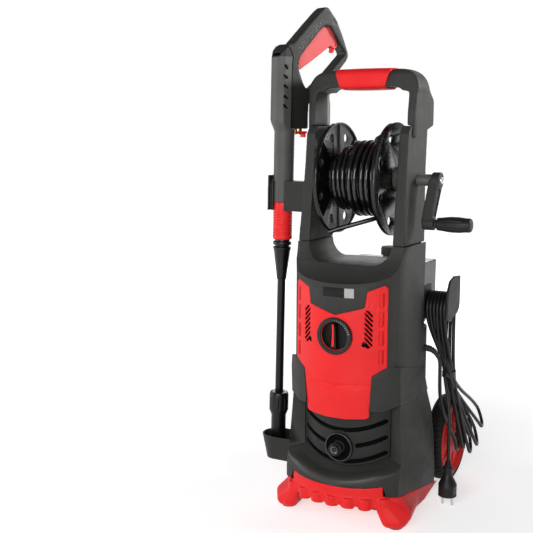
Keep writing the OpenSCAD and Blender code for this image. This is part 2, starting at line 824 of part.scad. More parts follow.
// One flange: a disc with a rim, holes and radial ribs on its inner side; z = 0 is its outer face
module flange() {
    difference() {
        union() {
            cylinder(h = flange_t, d = flange_d, $fn = 96);
            cylinder(h = 9, d = drum_d - slip);
            difference() {
                cylinder(h = 7, d = flange_d, $fn = 96);
                translate([0, 0, -1]) cylinder(h = 9, d = flange_d - 6, $fn = 96);
            }
            for (a = [0 : 45 : 315]) rotate(a)
                translate([drum_d / 2 - 4, -1.5, 0]) cube([flange_d / 2 - drum_d / 2 + 2, 3, 6]);
        }
        translate([0, 0, -1]) cylinder(h = 20, d = reel_axle_d);
        for (a = [22.5 : 45 : 337.5]) rotate(a) translate([flange_d / 2 - 24, 0, -1]) cylinder(h = 5, d = 17);
    }
}

module left_flange() { color(BLACK) on_reel() translate([0, 0, -reel_w / 2]) flange(); }

module right_flange() { color(BLACK) on_reel() translate([0, 0, reel_w / 2]) mirror([0, 0, 1]) flange(); }

module reel_drum() {
    color(BLACK) on_reel() translate([0, 0, -reel_w / 2 + 9 + 0.01]) difference() {
        cylinder(h = reel_w - 18 - 0.02, d = drum_d);
        translate([0, 0, -1]) cylinder(h = reel_w, d = drum_d - 2 * wall);
    }
}

reel_axle_end = hw + 28;                // its end inside the crank

module reel_axle() {
    color(GREY) on_reel() {
        difference() {
            translate([0, 0, -hw - 4]) cylinder(h = reel_axle_end + hw + 4, d = reel_axle_d);
            // Bore for the crank's bolt
            translate([0, 0, reel_axle_end - 15]) cylinder(h = 20, d = 8);
        }
        // Collars between the flanges and the columns
        for (s = [-1, 1]) translate([0, 0, s * (gap_hw + reel_w / 2) / 2]) difference() {
            cylinder(h = gap_hw - reel_w / 2 - 1, d = 46, center = true);
            cylinder(h = 60, d = reel_axle_d - 1, center = true);
        }
    }
}

module hose_winding() {
    color(BLACK) on_reel() difference() {
        cylinder(h = reel_w - 26, d = winding_d, center = true);
        cylinder(h = reel_w, d = drum_d, center = true);
    }
}

module hose_end() {
    r = winding_d / 2 + 7.2;
    color([0.1, 0.1, 0.1]) translate([reel_w / 2 - 20, -reel_y, reel_z]) rotate([14, 0, 0]) {
        rod_y(-24, 12, 0, r, 14);
        rod_y(-32, -24, 0, r, 10);
        rod_y(12, 22, 0, r, 16);
    }
}

arm_y = -reel_y - crank_len * sin(crank_angle);
arm_z = reel_z - crank_len * cos(crank_angle);
crank_x = hw + 39;                      // outer face of the crank's hub
hub_x = crank_x - 16;                   // inner face of its hub
crank_pin_d = 8;
bolt_d = 8;
grip_x0 = crank_x + 2;
grip_x1 = grip_x0 + 65;

module crank_arm() {
    color(BLACK) difference() {
        union() {
            rod_x(hub_x, crank_x, -reel_y, reel_z, 30);
            rod_x(crank_x - 25, crank_x - 3, arm_y, arm_z, 24);
            rod_x(crank_x - 4, grip_x0 - 0.3, arm_y, arm_z, 14);
            rod_x(crank_x - 4, grip_x1 - 6, arm_y, arm_z, crank_pin_d);
            // Blade of the arm, leaning towards the case at its lower end
            intersection() {
                yz(hub_x - 20, crank_x) translate([-reel_y, reel_z]) rotate(-crank_angle)
                    polygon([[-14, 0], [-11, -crank_len], [11, -crank_len], [14, 0]]);
                xz(-far, far) polygon([
                    [crank_x - 20, reel_z + 2], [crank_x - 27, arm_z - 2], [crank_x - 7, arm_z - 2],
                    [crank_x - 0.5, reel_z + 2]
                ]);
            }
        }
        rod_x(hub_x - 20, reel_axle_end + 0.1, -reel_y, reel_z, reel_axle_d);
        rod_x(crank_x - 20, crank_x + 1, -reel_y, reel_z, bolt_d);
        // Recess along the outer face of the blade
        intersection() {
            yz(hub_x, crank_x + 1) translate([-reel_y, reel_z]) rotate(-crank_angle)
                polygon([[-10, -17], [-8, -crank_len + 14], [8, -crank_len + 14], [10, -17]]);
            xz(-far, far) polygon([
                [crank_x - 3.5, reel_z + 2], [crank_x - 10, arm_z - 2], [crank_x + 20, arm_z - 2],
                [crank_x + 20, reel_z + 2]
            ]);
        }
    }
}

module crank_bolt() {
    color(STEEL) difference() {
        union() {
            rod_x(crank_x, crank_x + 2.5, -reel_y, reel_z, 15, 13);
            rod_x(crank_x - 24, crank_x, -reel_y, reel_z, bolt_d - 0.02);
        }
        rod_x(crank_x + 1, crank_x + 5, -reel_y, reel_z, 7);
    }
}

module crank_grip() {
    color(BLACK) translate([grip_x0, arm_y, arm_z]) rotate([0, 90, 0]) difference() {
        rotate_extrude() polygon([
            [0, 0], [10, 0], [12, 3], [13.8, 14], [14.5, 28], [14.5, 42], [13.8, 54], [13.2, 57],
            [12.6, 57], [12.6, 58.5], [13.2, 58.5], [12.8, 62], [10.5, grip_x1 - grip_x0], [0, grip_x1 - grip_x0]
        ]);
        translate([0, 0, -1]) cylinder(h = grip_x1 - grip_x0 - 4.5, d = crank_pin_d + slip);
    }
}

// Wheels -------------------------------------------------------------------------------

wheel_x0 = hw - 21;                     // inner face of the tyres
wheel_x1 = wheel_x0 + tyre_w;
rim_d = wheel_d - 22;

module on_axle(side) { translate([0, axle_y, wheel_d / 2]) rotate([0, side * 90, 0]) children(); }

module wheel_axle() { color(STEEL) rod_x(-wheel_x1 - 5, wheel_x1 + 5, axle_y, wheel_d / 2, axle_d); }

module tyre() {
    translate([0, 0, wheel_x0]) rotate_extrude($fn = 128) polygon([
        [rim_d / 2, 1], [wheel_d / 2 - 5, 0], [wheel_d / 2, 6], [wheel_d / 2, tyre_w - 6],
        [wheel_d / 2 - 5, tyre_w], [rim_d / 2, tyre_w - 1]
    ]);
}

module wheel_disc() {
    difference() {
        translate([0, 0, wheel_x0]) rotate_extrude($fn = 128) polygon([
            [9, 2], [16, 2], [16, 12], [rim_d / 2 - 8, 12], [rim_d / 2 - 5, 2], [rim_d / 2, 2],
            [rim_d / 2, tyre_w - 1], [rim_d / 2 - 4, tyre_w + 1], [rim_d / 2 - 10, tyre_w - 8],
            [26, tyre_w - 2], [18, tyre_w + 1], [9, tyre_w + 1]
        ]);
        translate([0, 0, wheel_x0 - 1]) cylinder(h = tyre_w + 9, d = axle_d + slip);
        // Windows between the spokes
        for (a = [0 : 60 : 300]) rotate(a) translate([44, 0, wheel_x0 + tyre_w - 8])
            linear_extrude(20) polygon([[-14, -5], [16, -12], [21, 0], [16, 12], [-14, 5]]);
    }
}

module left_tyre() { color(RUBBER) on_axle(-1) tyre(); }

module right_tyre() { color(RUBBER) on_axle(1) tyre(); }

module left_wheel() { color(RED) on_axle(-1) wheel_disc(); }

module right_wheel() { color(RED) on_axle(1) wheel_disc(); }

module axle_caps() {
    color(BLACK) both_sides() difference() {
        rod_x(wheel_x1 + 1.5, wheel_x1 + 7, axle_y, wheel_d / 2, 24, 18);
        rod_x(wheel_x1 - 1, wheel_x1 + 5, axle_y, wheel_d / 2, axle_d);
    }
}

// Rear --------------------------------------------------------------------------------

tank_hw = tank_w / 2;
cap_x = -3;
cap_y = 60;

module tank_plan(i = 0) {
    r = 16 - i;
    polygon(concat(
        [[-tank_hw + i, upper_rear + part_gap + i], [tank_hw - i, upper_rear + part_gap + i]],
        arc([tank_hw - 16, tank_rear - 16], r, 0, 90), arc([-tank_hw + 16, tank_rear - 16], r, 90, 180)
    ));
}

module detergent_tank() {
    tank_wall = 2.5;
    low = tank_bottom + part_gap;
    color(GREY) difference() {
        union() {
            intersection() {
                translate([0, 0, low]) linear_extrude(tank_top - low) tank_plan();
                yz(-far, far) polygon([
                    [0, low], [body_rear + 4, low], [tank_rear, low + 42], [tank_rear, tank_top - 8],
                    [tank_rear - 9, tank_top], [0, tank_top]
                ]);
            }
            translate([cap_x, cap_y, tank_top - 1]) cylinder(h = 7, d = 38);
        }
        intersection() {
            translate([0, 0, low + tank_wall]) linear_extrude(tank_top - low - 2 * tank_wall) tank_plan(tank_wall);
            yz(-far, far) polygon([
                [0, low + tank_wall], [body_rear + 3, low + tank_wall], [tank_rear - tank_wall, low + 43],
                [tank_rear - tank_wall, tank_top - 9], [tank_rear - 10, tank_top - tank_wall], [0, tank_top - tank_wall]
            ]);
        }
        translate([cap_x, cap_y, tank_top - 10]) cylinder(h = 40, d = 30);
    }
}

module tank_cap() {
    color(BLACK) translate([cap_x, cap_y, tank_top + 6 + 0.3]) difference() {
        union() {
            cylinder(h = 17, d = 42);
            translate([0, 0, -14]) cylinder(h = 15, d = 29.6);
            for (a = [0 : 30 : 330]) rotate(a) translate([20.5, 0, 0]) cylinder(h = 15, d = 4, $fn = 24);
        }
        translate([0, 0, -15]) cylinder(h = 20, d = 25);
    }
}

hook_x0 = rear_hw + 0.3;                // face of the rear housing's side
hook_x1 = rear_hw + 3 + hook_reach;     // inner face of the hook's lip
hook_y = -8;                            // middle of the arm
hook_r = 27;                            // radius of the arm's rounded top

module cord_hook() {
    color(BLACK) {
        yz(hook_x0, hook_x0 + 5) polygon([[-44, hook_z - 46], [-3, hook_z - 46], [-3, hook_z + 20], [-44, hook_z + 20]]);
        difference() {
            yz(hook_x0 + 5, hook_x1) {
                translate([hook_y, hook_z - hook_r]) circle(hook_r);
                translate([hook_y - hook_r, hook_z - hook_r - 14]) square([2 * hook_r, 14]);
            }
            yz(hook_x0 + 8, hook_x1 - 3) {
                translate([hook_y, hook_z - hook_r]) circle(hook_r - wall);
                translate([hook_y - hook_r + wall, hook_z - hook_r - 15]) square([2 * (hook_r - wall), 15]);
            }
        }
        yz(hook_x1, hook_x1 + 5) polygon(concat(
            [[-44, hook_z - 45], [-12, hook_z - 45]], arc([9, hook_z - 17], 24, -76, 0, 5),
            [[33, hook_z + 34], [0, hook_z + 37], [-26, hook_z + 30], [-37, hook_z + 12]]
        ));
    }
}

// Lance clip and cup ------------------------------------------------------------------

module on_lance() { translate([-lance_x, -lance_y, lance_z]) rotate([0, lance_tilt, 0]) children(); }

module on_gun() { on_lance() rotate([0, 0, gun_turn]) children(); }

clip_h0 = 488;                          // lower edge of the clip along the lance
clip_h = 59;
clip_r = barrel_d / 2 + clip_gap;
clip_mouth = 24;

module gun_bracket() {
    clip_top = clip_h0 + clip_h;
    color(BLACK) difference() {
        union() {
            on_lance() translate([0, 0, clip_h0]) cylinder(h = clip_h, r = clip_r + 3.5);
            on_lance() translate([-clip_r - 3.5, -clip_r, clip_h0]) cube([3.5, clip_r, clip_h + 10]);
            on_lance() translate([14, -clip_r + 2, clip_h0]) cube([60, 34, clip_h]);
        }
        on_lance() translate([0, 0, clip_h0 - 1]) cylinder(h = clip_h + 30, r = clip_r);
        on_lance() translate([-clip_mouth / 2, -60, clip_h0 - 1]) cube([clip_mouth, 60, clip_h + 30]);
        mirror([1, 0, 0]) xz(-far, far) column_outline(-0.3);
        translate([-gap_hw - 8, -far, 0]) cube(2 * far);
    }
}

cup_w = 64;
cup_z = 69;
cup_h = 51;
cup_floor = 5;

module cup_body(i, z0, z1) {
    y = -lance_y;
    r0 = cup_w / 2 - 10 - i;
    r1 = cup_w / 2 - i;
    at = [r0 + (r1 - r0) * (z0 - cup_z) / cup_h, r0 + (r1 - r0) * (z1 - cup_z) / cup_h];
    translate([-lance_x, y, z0]) cylinder(h = z1 - z0, r1 = at[0], r2 = at[1]);
    translate([0, y, 0]) yz(-lance_x, -low_hw - 0.3 - i)
        polygon([[-at[0], z0], [at[0], z0], [at[1], z1], [-at[1], z1]]);
}

module lance_cup() {
    floor_z = lance_z - 0.3;
    color(BLACK) difference() {
        cup_body(0, cup_z, cup_z + cup_h);
        cup_body(wall, floor_z, cup_z + cup_h + 5);
        cup_body(wall, cup_z - 2, floor_z - cup_floor);
    }
}

// Gun ---------------------------------------------------------------------------------
// In the gun's own frame x runs along the grip, z up along the barrel and y across.

barrel_h0 = 504;                        // lower end of the round barrel
box_h0 = 643;                           // where the round barrel widens
tube_h1 = box_h0 + 27;                  // upper end of the lance tube, in the valve
split_x = 2;                            // joint between barrel cover and grip shells
pivot = [20.5, 774];                    // trigger pivot
latch_pivot = [117, 813];

module shell_outline() {
    polygon([
        [split_x + 0.3, box_h0 + 5], [split_x + 0.3, 806], [10, 815], [25, 830], [50, 855], [74, 878], [84, 886],
        [93, 887], [108, 872], [118, 861], [138, 824], [149, 799], [149, 793], [144, 784], [130, 769],
        [49, 696], [49, box_h0 + 5]
    ]);
}

// The opening for the fingers and the trigger
module finger_outline() {
    polygon([
        [24, 760], [22, 776], [28, 790], [48, 812], [75, 841], [86, 849], [99, 849], [108, 838], [140, 799],
        [101, 761], [73, 738], [62, 729], [41, 728], [34, 738]
    ]);
}

// Room for the trigger inside the grip
module trigger_room() {
    polygon([
        [15, 764], [12, 784], [22, 803], [63, 861], [80, 872], [97, 873], [110, 862], [122, 842], [129, 818],
        [126, 806], [60, 760], [34, 752]
    ]);
}

module gun_shell(side) {
    y0 = side < 0 ? -gun_t / 2 : 0.05;
    y1 = side < 0 ? -0.05 : gun_t / 2;
    inner = gun_t / 2 - wall;
    difference() {
        xz(y0, y1) shell_outline();
        xz(-far, far) finger_outline();
        xz(-trigger_t / 2 - 0.8, trigger_t / 2 + 0.8) trigger_room();
        // Hollow round the valve and its inlet branch
        xz(-inner, inner) polygon([
            [split_x, box_h0 + 5 + wall], [split_x, 792], [13.5, 792], [13.5, 742], [26, 720], [46, 704],
            [46, box_h0 + 5 + wall]
        ]);
        translate([0, 0, box_h0]) cylinder(h = 20, d = 21.6);
        translate([branch_x, 0, box_h0 - 10]) cylinder(h = 40, d = 16.4);
        rod_y(-far, far, pivot[0], pivot[1], 5);
        // Recess of the assembly screw
        rod_y(side < 0 ? -far : gun_t / 2 - 2, side < 0 ? -gun_t / 2 + 2 : far, 111, 861, 8);
    }
}

module gun_shell_left() { color(BLACK) on_gun() gun_shell(1); }

module gun_shell_right() { color(BLACK) on_gun() gun_shell(-1); }

cover_w = 40;
branch_x = 34;                          // hose inlet beside the barrel

module barrel_cover() {
    color([0.3, 0.3, 0.29]) on_gun() difference() {
        union() {
            translate([0, 0, barrel_h0]) cylinder(h = box_h0 + 5 - barrel_h0, d = barrel_d);
            intersection() {
                xz(-cover_w / 2, cover_w / 2) polygon([
                    [-28, box_h0], [-28, 784], [-15, 802], [-6, 809], [split_x, 811], [split_x, box_h0]
                ]);
                union() {
                    translate([0, 0, box_h0]) cylinder(h = 33, r1 = barrel_d / 2, r2 = 34);
                    translate([0, 0, box_h0 + 33]) cylinder(h = 200, r = 34);
                }
                // Bevelled front corners
                linear_extrude(far + 500) polygon([
                    [-28, -10], [-18, -20], [30, -20], [30, 20], [-18, 20], [-28, 10]
                ]);
            }
        }
        translate([0, 0, barrel_h0 - 1]) cylinder(h = box_h0 + 41 - barrel_h0, d = barrel_d - 2 * wall - 2);
        translate([-28 + wall, -cover_w / 2 + wall + 5, box_h0 + 30]) cube([60, cover_w - 2 * wall - 10, 120]);
        translate([0, 0, box_h0 + 6]) cylinder(h = 140, d = 24);
        for (s = [-1, 1], i = [0 : 4]) translate([-15, s * cover_w / 2, 690 + 18.5 * i]) rotate([0, -35, 0])
            cube([13, 2.4, 5], center = true);
    }
}

module gun_valve() {
    color(BRASS) on_gun() difference() {
        union() {
            translate([0, 0, box_h0 - 37]) cylinder(h = 36, d = barrel_d - 2 * wall - 2.1);
            translate([0, 0, 640]) cylinder(h = 143, d = 21);
            rod_x(0, branch_x, 0, 684, 14);
            translate([branch_x, 0, box_h0 - 6]) cylinder(h = 52, d = 16);
        }
        translate([0, 0, box_h0 - 43]) cylinder(h = tube_h1 - box_h0 + 43.1, d = tube_d);
        translate([branch_x, 0, box_h0 - 7]) cylinder(h = 30, d = 9);
        // Groove of the hose clip
        translate([branch_x, 0, box_h0 - 4]) difference() {
            cylinder(h = 5, d = 30);
            translate([0, 0, -1]) cylinder(h = 7, d = 13);
        }
    }
}

module hose_clip() {
    color(RED) on_gun() translate([0, 0, box_h0 - 3.6]) difference() {
        union() {
            translate([branch_x - 12, -11, 0]) cube([26, 22, 4.2]);
            translate([branch_x + 11, -7, -8]) cube([3, 14, 12.2]);
        }
        translate([branch_x, 0, -1]) cylinder(h = 7, d = 13.6);
        translate([branch_x - 20, -6.8, -1]) cube([20, 13.6, 7]);
    }
}

module trigger() {
    half = trigger_t / 2;
    color(RED) on_gun() difference() {
        xz(-half, half) polygon([
            [22, 767], [16, 769], [14, 781], [19, 790], [67, 848], [82, 858], [96, 859], [106, 849], [124, 817],
            [123, 811], [116, 807], [106, 813], [60, 782], [30, 763]
        ]);
        rod_y(-far, far, pivot[0], pivot[1], 5 + slip);
        // Fork of the safety latch
        xz(-4.4, 4.4) polygon([[106, 802], [106, 830], [134, 830], [134, 802]]);
        rod_y(-far, far, latch_pivot[0], latch_pivot[1], 3 + slip);
    }
}

module trigger_pin() {
    color(STEEL) on_gun() rod_y(-gun_t / 2 + 1, gun_t / 2 - 1, pivot[0], pivot[1], 5);
}

module safety_latch() {
    color(RED) on_gun() {
        xz(-4, 4) {
            translate(latch_pivot) circle(3.6);
            polygon([
                latch_pivot + [-3.5, 0], latch_pivot + [-7, -11], latch_pivot + [-4, -14],
                latch_pivot + [1, -12], latch_pivot + [3.5, 0]
            ]);
        }
        rod_y(-trigger_t / 2 + 1, trigger_t / 2 - 1, latch_pivot[0], latch_pivot[1], 3);
    }
}

sleeve_h0 = 430;
sleeve_d = barrel_d - 1.6;

module lance_sleeve() {
    sleeve_h = barrel_h0 - sleeve_h0 - 0.4;
    ring_pitch = 5;
    rings = floor((sleeve_h - 23) / ring_pitch);
    color(RED) on_lance() translate([0, 0, sleeve_h0]) difference() {
        rotate_extrude() polygon(concat(
            [[0, 0], [sleeve_d / 2 - 1, 0], [sleeve_d / 2, 2]],
            [for (i = [0 : rings - 1], k = [0 : 3])
                [sleeve_d / 2 - (k == 1 || k == 2 ? 0.8 : 0), 8 + ring_pitch * i + [0, 0.6, 2, 2.6][k]]],
            [[sleeve_d / 2, sleeve_h], [0, sleeve_h]]
        ));
        translate([0, 0, -1]) cylinder(h = sleeve_h + 2, d = tube_d);
    }
}

collar_h0 = 349;

module lance_collar() {
    collar_h = sleeve_h0 - collar_h0;
    cone_h = collar_h - 16;
    cone_d = barrel_d - 3.4;
    color(BLACK) on_lance() translate([0, 0, collar_h0]) difference() {
        rotate_extrude() polygon([
            [0, 0], [tube_d / 2 + 1.5, 0], [tube_d / 2 + 2.5, 12], [cone_d / 2 - 2, cone_h - 8], [cone_d / 2, cone_h],
            [14, cone_h + 2], [14, cone_h + 4], [cone_d / 2, cone_h + 5], [cone_d / 2, cone_h + 11],
            [15, cone_h + 12], [15, collar_h], [0, collar_h]
        ]);
        // Flutes along the cone
        for (a = [0 : 36 : 324]) rotate(a) translate([cone_d / 2 + 1.5, 0, 16]) rotate([0, 8, 0])
            cylinder(h = cone_h - 20, d = 5, $fn = 24);
        translate([0, 0, -1]) cylinder(h = collar_h + 2, d = tube_d);
    }
}

module lance_tube() {
    color(BLACK) on_lance() difference() {
        translate([0, 0, 40]) cylinder(h = tube_h1 - 40, d = tube_d - 0.02);
        translate([0, 0, 39]) cylinder(h = tube_h1, d = 8);
    }
}

module nozzle_head() {
    color(BLACK) on_lance() difference() {
        rotate_extrude() polygon([
            [0, 0], [11, 0], [14, 2], [15, 8], [15, 67], [19.5, 78], [19.5, 110], [18, 115], [0, 115]
        ]);
        translate([0, 0, 36]) cylinder(h = 100, d = tube_d + slip);
        translate([0, 0, 6]) cylinder(h = 40, d = 6);
        translate([0, 0, -1]) cylinder(h = 20, d = 3);
        translate([0, 0, -0.5]) cylinder(h = 6, d1 = 14, d2 = 4);
        for (a = [0 : 30 : 330]) rotate(a) translate([21, 0, 80]) cylinder(h = 26, d = 5, $fn = 24);
    }
}

// Motor and pump ------------------------------------------------------------------------

pump_d = 100;
pump_z0 = 112;
stator_z0 = 196.3;
stator_z1 = 302;
shaft_d = 10;

module on_motor() { translate([0, motor_y, 0]) children(); }

module motor_stator() {
    color(GREY) on_motor() difference() {
        translate([0, 0, stator_z0]) cylinder(h = stator_z1 - stator_z0, d = 116);
        translate([0, 0, stator_z0 + 10]) cylinder(h = stator_z1 - stator_z0 - 20, d = 66);
        translate([0, 0, 100]) cylinder(h = 300, d = shaft_d + slip);
        for (a = [0 : 30 : 330]) rotate(a) translate([58, 0, stator_z0 + 12]) cylinder(h = 80, d = 7);
    }
}

module motor_rotor() {
    color(STEEL) on_motor() {
        translate([0, 0, 150]) cylinder(h = 178, d = shaft_d);
        translate([0, 0, stator_z0 + 13]) cylinder(h = stator_z1 - stator_z0 - 26, d = 62);
        // Wobble plate in the pump
        intersection() {
            translate([0, 0, 166]) rotate([9, 0, 0]) cylinder(h = 9, d = 80, center = true);
            translate([0, 0, 150]) cylinder(h = 32, d = 52);
        }
        // Cooling fan
        translate([0, 0, 308]) cylinder(h = 2, d = 96);
        translate([0, 0, 308]) cylinder(h = 14, d = 24);
        for (a = [0 : 36 : 324]) rotate(a) translate([11, -1, 309]) cube([35, 2, 12]);
    }
}

module pump_body() {
    color([0.7, 0.7, 0.7]) on_motor() difference() {
        translate([0, 0, pump_z0]) cylinder(h = 84, d = pump_d);
        translate([0, 0, pump_z0 + 28]) cylinder(h = 46, d = 62);
        translate([0, 0, 100]) cylinder(h = 200, d = shaft_d + slip);
        rod_y(-pump_d, 0, 0, inlet_z - 6, 12);
    }
}

module pump_head() {
    color(BRASS) on_motor() {
        translate([0, 0, pump_bottom]) cylinder(h = pump_z0 - pump_bottom - 0.3, d = 92);
        for (a = [30 : 120 : 270]) rotate(a) rod_y(40, 52, 0, 80, 20);
    }
}

pipe_route = [[-46.3, motor_y, 76], [-78, motor_y, 76], [-gap_hw - 11, motor_y, 150],
    [-gap_hw - 11, motor_y, reel_z - reel_axle_d / 2 - 0.3]];

// A cylinder from point a to point b
module rod(a, b, d) {
    v = b - a;
    translate(a) rotate([0, acos(v[2] / norm(v)), atan2(v[1], v[0])]) cylinder(h = norm(v), d = d);
}

module pressure_pipe() {
    color(STEEL) {
        for (i = [0 : len(pipe_route) - 2]) rod(pipe_route[i], pipe_route[i + 1], 9);
        for (i = [1 : len(pipe_route) - 2]) translate(pipe_route[i]) sphere(d = 9.4);
    }
}

module power_switch() {
    y0 = -knob_back + 9.3;
    color([0.15, 0.15, 0.15]) difference() {
        translate([-17, y0, knob_z - 18]) cube([34, 40, 36]);
        rod_y(-far, y0 + 46, 0, knob_z, 12 + slip);
    }
}

screw_x = [-48, 48];
screw_z = [200, 336];
screw_d = 4;

module screws() {
    color(STEEL) for (x = screw_x, z = screw_z) difference() {
        union() {
            rod_y(body_rear, body_rear + 2.6, x, z, 9, 7);
            rod_y(body_rear - 16, body_rear, x, z, screw_d);
        }
        translate([x, body_rear + 2, z]) cube([5.5, 3, 1.2], center = true);
        translate([x, body_rear + 2, z]) cube([1.2, 3, 5.5], center = true);
    }
}

// Mains lead ----------------------------------------------------------------------------

gland_y = -36;
gland_z = 314;
gland_d = 16;
gland_x = rear_hw + 13;                 // where the lead leaves its gland

module cord_gland() {
    color(BLACK) difference() {
        union() {
            rod_x(rear_hw - 8, rear_hw + 0.3, gland_y, gland_z, gland_d);
            rod_x(rear_hw + 0.3, rear_hw + 3, gland_y, gland_z, gland_d + 5);
            rod_x(rear_hw, gland_x, gland_y, gland_z, gland_d - 1, lead_d + 2);
        }
        rod_x(rear_hw - 12, gland_x + 1, gland_y, gland_z, lead_d);
    }
}

// The stretch from the gland to the hank
lead_route = [
    [rear_hw - 8, gland_y, gland_z], [gland_x - 2, gland_y, gland_z], [gland_x + 4, gland_y, gland_z - 0.5],
    [128, -37, 306], [134, -39, 290], [139, -41, 272], [142, -42, 254], [143, -41, 238], [144, -38, 224],
    [145, -32, 210], [146, -24, 197], [147, -13, 185], [148, 0, 175], [148, 12, 168]
];
plug_x = 162;
plug_y = -34;
plug_top = 92;
// The stretch from the hank to the plug
plug_route = [
    [152, -9, 240], [154, -15, 230], [157, -21, 216], [159, -26, 202], [161, -30, 188], [162, -33, 170],
    [plug_x, plug_y, 154], [plug_x, plug_y, 134], [plug_x, plug_y, 112], [plug_x, plug_y, plug_top]
];

function unit(v) = v / norm(v);
// Direction of the route at point i
function heading(p, i) = unit(p[min(i + 1, len(p) - 1)] - p[max(i - 1, 0)]);
// Catmull-Rom point between p[i] and p[i + 1]
function between(p, i, t) = let (
    a = p[max(i - 1, 0)], b = p[i], c = p[i + 1], d = p[min(i + 2, len(p) - 1)]
) 0.5 * (2 * b + (c - a) * t + (2 * a - 5 * b + 4 * c - d) * t * t + (3 * b - a - 3 * c + d) * t * t * t);
function smooth(p, n) = concat([for (i = [0 : len(p) - 2], k = [0 : n - 1]) between(p, i, k / n)], [p[len(p) - 1]]);

// A tube of the given diameter along a route, with flat ends
module sweep(route, d, sides = 10) {
    n = len(route);
    side_dir = [1, 0.3, 0.1];
    points = [for (i = [0 : n - 1]) let (
        w = heading(route, i), u = unit(cross(w, side_dir)), v = cross(w, u)
    ) for (k = [0 : sides - 1]) route[i] + d / 2 * (cos(360 * k / sides) * u + sin(360 * k / sides) * v)];
    faces = concat(
        [[for (k = [0 : sides - 1]) k]],
        [for (i = [0 : n - 2], k = [0 : sides - 1]) let (m = (k + 1) % sides)
            [i * sides + k, (i + 1) * sides + k, (i + 1) * sides + m, i * sides + m]],
        [[for (k = [sides - 1 : -1 : 0]) (n - 1) * sides + k]]
    );
    polyhedron(points, faces, convexity = 6);
}

module cord_tube() {
    color(RUBBER) {
        sweep(lead_route, lead_d);
        sweep(plug_route, lead_d);
    }
}

hank_x0 = rear_hw + 5.8;                // inner face of the loops on the hook
hank_x1 = hook_x1 - 0.4;
hank_low_x0 = hw + 22;                  // the loops hang outside the wheel
hank_low_x1 = hw + 45;
hank_tie_z = 259;

// The loops seen from the front, and from the side
module hank_front() {
    polygon([
        [hank_x0, hook_z + 20], [hank_x0, 351], [114, 317], [136, 270], [hank_low_x0 + 2, hank_tie_z],
        [hank_low_x0, 235], [hank_low_x0, 50], [hank_low_x1, 50], [hank_low_x1, 235], [157, hank_tie_z],
        [143, 315], [141, 368], [hank_x1, 376], [hank_x1, hook_z + 20]
    ]);
}

module hank_side() {
    polygon(concat(
        [[20, hank_tie_z]], arc([hook_y, hook_z - hook_r], hook_r + 9, 0, 180, 16),
        [[-10, hank_tie_z], [-12, 236], [4, 190], [34, 104]], arc([64, 98], 28, 200, 290, 5),
        arc([164, 104], 38, 270, 390, 8), [[128, 178], [26, 246]]
    ));
}

module cord_hank() {
    color(RUBBER) difference() {
        intersection() {
            xz(-far, far) hank_front();
            yz(0, far) hank_side();
        }
        // Room for the hook's arm
        yz(0, far) {
            translate([hook_y, hook_z - hook_r]) circle(hook_r + 0.4);
            translate([hook_y - hook_r - 0.4, hook_z - hook_r - 16]) square([2 * hook_r + 0.8, 16]);
        }
    }
}

module plug_body() {
    color(BLACK) translate([plug_x, plug_y, 0]) difference() {
        rotate_extrude() polygon([
            [0, 20], [18, 20], [19, 22], [19, 40], [17.5, 46], [11, 58], [8.5, 68], [8.5, 74], [10, 76], [10, 79],
            [7, 81], [5, plug_top], [0, plug_top]
        ]);
        for (x = [-9.5, 9.5]) translate([x, 0, 10]) cylinder(h = 16, d = 4.8);
    }
}

module plug_pins() {
    color(STEEL) for (x = [-9.5, 9.5]) translate([plug_x + x, plug_y, 1.5]) {
        cylinder(h = 24.5, d = 4.8);
    }
}

// The pieces ------------------------------------------------------------------------------

base_tray();
foot_pads();
front_housing();
rear_housing();
front_panel();
badge_plate();
knob_bezel();
power_knob();
knob_pointer();
lower_grille();
water_inlet();
inlet_filter();
left_column();
right_column();
handle_bow();
handle_grip();
reel_drum();
left_flange();
right_flange();
reel_axle();
hose_winding();
hose_end();
crank_arm();
crank_grip();
crank_bolt();
wheel_axle();
left_tyre();
right_tyre();
left_wheel();
right_wheel();
axle_caps();
detergent_tank();
tank_cap();
cord_hook();
gun_bracket();
lance_cup();
gun_shell_left();
gun_shell_right();
barrel_cover();
trigger();
trigger_pin();
safety_latch();
gun_valve();
hose_clip();
lance_sleeve();
lance_collar();
lance_tube();
nozzle_head();
motor_stator();
motor_rotor();
pump_body();
pump_head();
pressure_pipe();
power_switch();
cord_gland();
cord_tube();
cord_hank();
plug_body();
plug_pins();
screws();
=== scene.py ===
import math

import bmesh
import bpy
from mathutils import Matrix, Vector
from mathutils.noise import noise


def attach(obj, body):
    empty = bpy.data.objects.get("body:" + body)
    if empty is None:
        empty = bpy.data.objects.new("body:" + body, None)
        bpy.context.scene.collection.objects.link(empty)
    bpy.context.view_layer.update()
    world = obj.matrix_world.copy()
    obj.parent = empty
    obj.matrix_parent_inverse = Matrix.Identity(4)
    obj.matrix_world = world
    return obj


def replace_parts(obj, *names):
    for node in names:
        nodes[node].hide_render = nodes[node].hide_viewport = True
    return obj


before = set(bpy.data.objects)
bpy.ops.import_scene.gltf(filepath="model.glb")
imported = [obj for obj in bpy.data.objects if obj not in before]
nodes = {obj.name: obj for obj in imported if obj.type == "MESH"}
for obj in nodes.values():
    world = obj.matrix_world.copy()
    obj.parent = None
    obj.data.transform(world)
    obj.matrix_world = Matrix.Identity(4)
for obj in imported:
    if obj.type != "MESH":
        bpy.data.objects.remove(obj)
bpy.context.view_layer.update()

MM = 0.001

